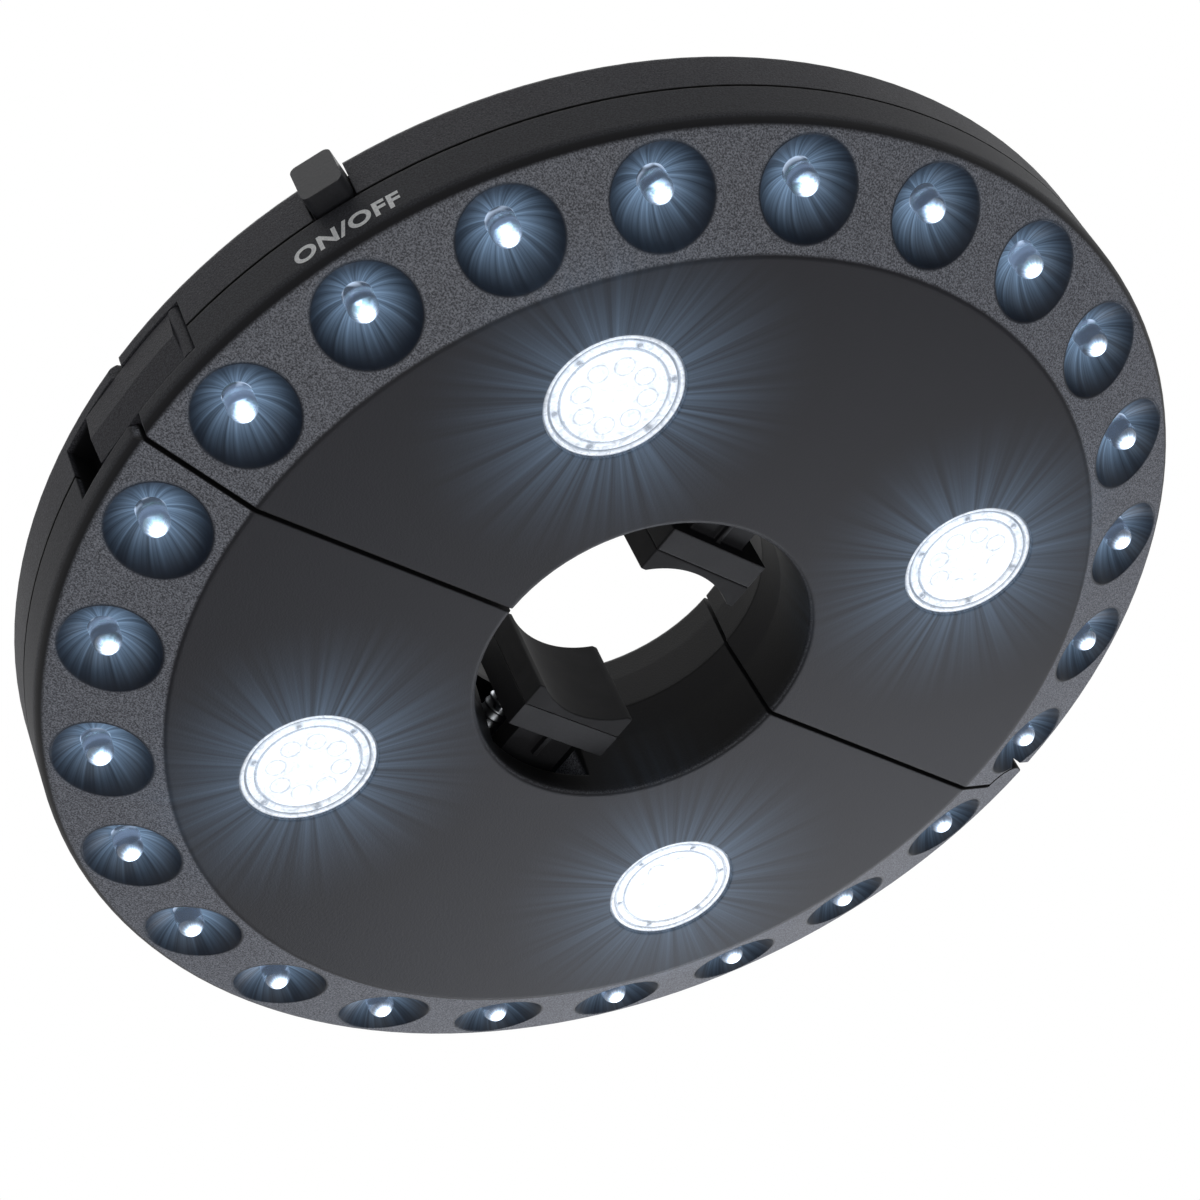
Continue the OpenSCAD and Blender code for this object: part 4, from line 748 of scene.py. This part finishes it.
def woundSpring(name, look):
    # a wire section screwed round Z; the end turns lie close, the others share the rest of the length
    bpy.ops.object.select_all(action="DESELECT")
    bpy.ops.mesh.primitive_circle_add(vertices=look["sides"], radius=look["wire"] / 2,
        location=(look["from"], 0, 0), rotation=(math.pi / 2, 0, 0))
    spring = bpy.context.active_object
    spring.name = name
    settle(spring)
    screw = spring.modifiers.new("wind", "SCREW")
    screw.axis = "Z"
    screw.steps = look["steps"]
    screw.render_steps = look["steps"]
    screw.iterations = look["turns"]
    screw.screw_offset = look["wire"]
    screw.use_merge_vertices = False
    bpy.ops.object.modifier_apply(modifier="wind")
    total = look["turns"] * look["steps"]
    closed = look["closed"] * look["steps"]
    openPitch = (look["length"] - look["wire"] * (1 + 2 * look["closed"])) / (total - 2 * closed)
    for vertex in spring.data.vertices:
        step = round(math.atan2(vertex.co.y, vertex.co.x) / (2 * math.pi) * look["steps"]) % look["steps"]
        wound = round((vertex.co.z / look["wire"]) - step / look["steps"]) * look["steps"] + step
        inEnds = min(wound, closed) + max(0, wound - total + closed)
        rise = look["wire"] * (0.5 + inEnds / look["steps"])
        rise += openPitch * (min(max(wound, closed), total - closed) - closed)
        across = math.hypot(vertex.co.x, vertex.co.y)
        wider = across + (look["to"] - look["from"]) * wound / total
        vertex.co.z += rise - look["wire"] * wound / look["steps"]
        vertex.co.x *= wider / across
        vertex.co.y *= wider / across
    bpy.ops.object.mode_set(mode="EDIT")
    bpy.ops.mesh.select_all(action="SELECT")
    bpy.ops.mesh.fill_holes(sides=0)
    bpy.ops.mesh.select_all(action="SELECT")
    bpy.ops.mesh.normals_make_consistent(inside=False)
    bpy.ops.object.mode_set(mode="OBJECT")
    return spring


jawSpring = {"from": 2.6 * mm, "to": 2.6 * mm, "wire": 0.7 * mm, "sides": 10, "turns": 9, "closed": 1,
    "steps": 24, "length": 14 * mm, "x": 4.4 * mm, "y": 24 * mm, "z": -1.6 * mm}
pair = []
for side in (-1, 1):
    spring = woundSpring(f"jawSpring{side}", jawSpring)
    spring.rotation_euler.x = -math.pi / 2
    spring.location = (side * jawSpring["x"], jawSpring["y"], jawSpring["z"])
    settle(spring)
    pair.append(spring)
jawSpringsB = joined(pair, "jaw_coils_b")
jawSpringsA = mirroredCopy(jawSpringsB, "jaw_coils_a")
finishPiece(jawSpringsB, springSteel, None, ["jaw_springs_b"], 60)
finishPiece(jawSpringsA, springSteel, None, ["jaw_springs_a"], 60)
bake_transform(jawSpringsB)
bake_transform(jawSpringsA)

contactSpring = {"from": 4.2 * mm, "to": 2.7 * mm, "wire": 0.7 * mm, "sides": 10, "turns": 4, "closed": 0,
    "steps": 24, "length": 6 * mm, "x": 28.85 * mm, "cells": (58.05 * mm, 73.15 * mm), "z": 4.15 * mm}
pair = []
for side, away in zip((-1, 1), contactSpring["cells"]):
    spring = woundSpring(f"contactSpring{side}", contactSpring)
    spring.rotation_euler.y = -side * math.pi / 2
    spring.location = (side * contactSpring["x"], away, contactSpring["z"])
    settle(spring)
    pair.append(spring)
contactCoilsB = joined(pair, "contact_coils_b")
contactCoilsA = mirroredCopy(contactCoilsB, "contact_coils_a")
finishPiece(contactCoilsB, springSteel, "half_b", ["contact_springs_b"], 60)
finishPiece(contactCoilsA, springSteel, "half_a", ["contact_springs_a"], 60)
print("springs wound")


legend = {"words": "ON/OFF", "from": 200.0, "to": 210.3, "low": -7.5 * mm, "high": -4.1 * mm,
    "wall": 105.0 * mm, "proud": 0.04 * mm, "depth": 0.02, "bolder": 0.03, "spacing": 1.08}
bpy.ops.object.select_all(action="DESELECT")
bpy.ops.object.text_add(location=(0, 0, 0))
letters = bpy.context.active_object
letters.name = "legend_on_off"
letters.data.body = legend["words"]
letters.data.extrude = legend["depth"]
letters.data.offset = legend["bolder"]
letters.data.space_character = legend["spacing"]
bpy.ops.object.convert(target="MESH")
letters = bpy.context.active_object
xs = [v.co.x for v in letters.data.vertices]
ys = [v.co.y for v in letters.data.vertices]
zs = [v.co.z for v in letters.data.vertices]
bpy.ops.object.mode_set(mode="EDIT")
bpy.ops.mesh.select_all(action="SELECT")
bpy.ops.mesh.subdivide(number_cuts=1)
bpy.ops.mesh.quads_convert_to_tris()
bpy.ops.object.mode_set(mode="OBJECT")
for vertex in letters.data.vertices:
    # wrapped round the wall, tops towards the button
    along = (vertex.co.x - min(xs)) / (max(xs) - min(xs))
    up = (vertex.co.y - min(ys)) / (max(ys) - min(ys))
    out = (vertex.co.z - min(zs)) / (max(zs) - min(zs))
    angle = math.radians(legend["from"] + (legend["to"] - legend["from"]) * along)
    radius = legend["wall"] + legend["proud"] * (2 * out - 1)
    vertex.co = (radius * math.cos(angle), radius * math.sin(angle),
        legend["low"] + (legend["high"] - legend["low"]) * up)
finishPiece(letters, legendInk, "half_a", [], 30)
print("legend wrapped on the wall")


softening = {"merge": 0.002 * mm, "flatWithin": 0.5, "sharpPast": 40, "segments": 3, "smoothWithin": 35}


def softenedCopy(nodeName, name, look):
    # the CAD shape with its sharp edges rounded off, as a mould leaves them
    piece = bpy.data.objects.new(name, nodes[nodeName].data.copy())
    bpy.context.scene.collection.objects.link(piece)
    onlySelect(piece)
    bpy.ops.object.mode_set(mode="EDIT")
    bpy.ops.mesh.select_all(action="SELECT")
    bpy.ops.mesh.remove_doubles(threshold=softening["merge"])
    bpy.ops.mesh.dissolve_limited(angle_limit=math.radians(softening["flatWithin"]))
    bpy.ops.object.mode_set(mode="OBJECT")
    bpy.ops.mesh.customdata_custom_splitnormals_clear()
    bevel = piece.modifiers.new("round", "BEVEL")
    bevel.width = look["edge"]
    bevel.segments = softening["segments"]
    bevel.limit_method = "ANGLE"
    bevel.angle_limit = math.radians(softening["sharpPast"])
    bevel.use_clamp_overlap = True
    bpy.ops.object.modifier_apply(modifier="round")
    finishPiece(piece, look["finish"], look["body"], [nodeName],
        look.get("smooth", softening["smoothWithin"]))
    # large faces keep their own normals, so that they shade flat up to the rounding
    weigh = piece.modifiers.new("weigh", "WEIGHTED_NORMAL")
    weigh.keep_sharp = True
    bpy.ops.object.modifier_apply(modifier="weigh")


mouldings = {
    "jaw_a": {"edge": 0.35 * mm, "body": "jaw_a", "slot": "jaw_plastic", "finish": jawPlastic},
    "jaw_b": {"edge": 0.35 * mm, "body": "jaw_b", "slot": "jaw_plastic", "finish": jawPlastic},
    "clasp": {"edge": 0.2 * mm, "body": "clasp", "slot": "jaw_plastic", "finish": claspPlastic,
              "smooth": 3.5},
    "button": {"edge": 0.3 * mm, "body": "button", "slot": "button_plastic", "finish": buttonPlastic},
    "hook_a": {"edge": 0.4 * mm, "body": "hook_a", "slot": "jaw_plastic", "finish": satinPlastic},
    "hook_b": {"edge": 0.4 * mm, "body": "hook_b", "slot": "jaw_plastic", "finish": satinPlastic},
    "battery_door_a": {"edge": 0.25 * mm, "body": "door_a", "slot": "back_plastic", "finish": doorPlastic},
    "battery_door_b": {"edge": 0.25 * mm, "body": "door_b", "slot": "back_plastic", "finish": doorPlastic},
    "jaw_pad_a": {"edge": 0.3 * mm, "body": "jaw_a", "slot": "grip_rubber", "finish": gripRubber},
    "jaw_pad_b": {"edge": 0.3 * mm, "body": "jaw_b", "slot": "grip_rubber", "finish": gripRubber}}
for name, look in mouldings.items():
    softenedCopy(name, name + "_moulded", look)
print("mouldings softened")
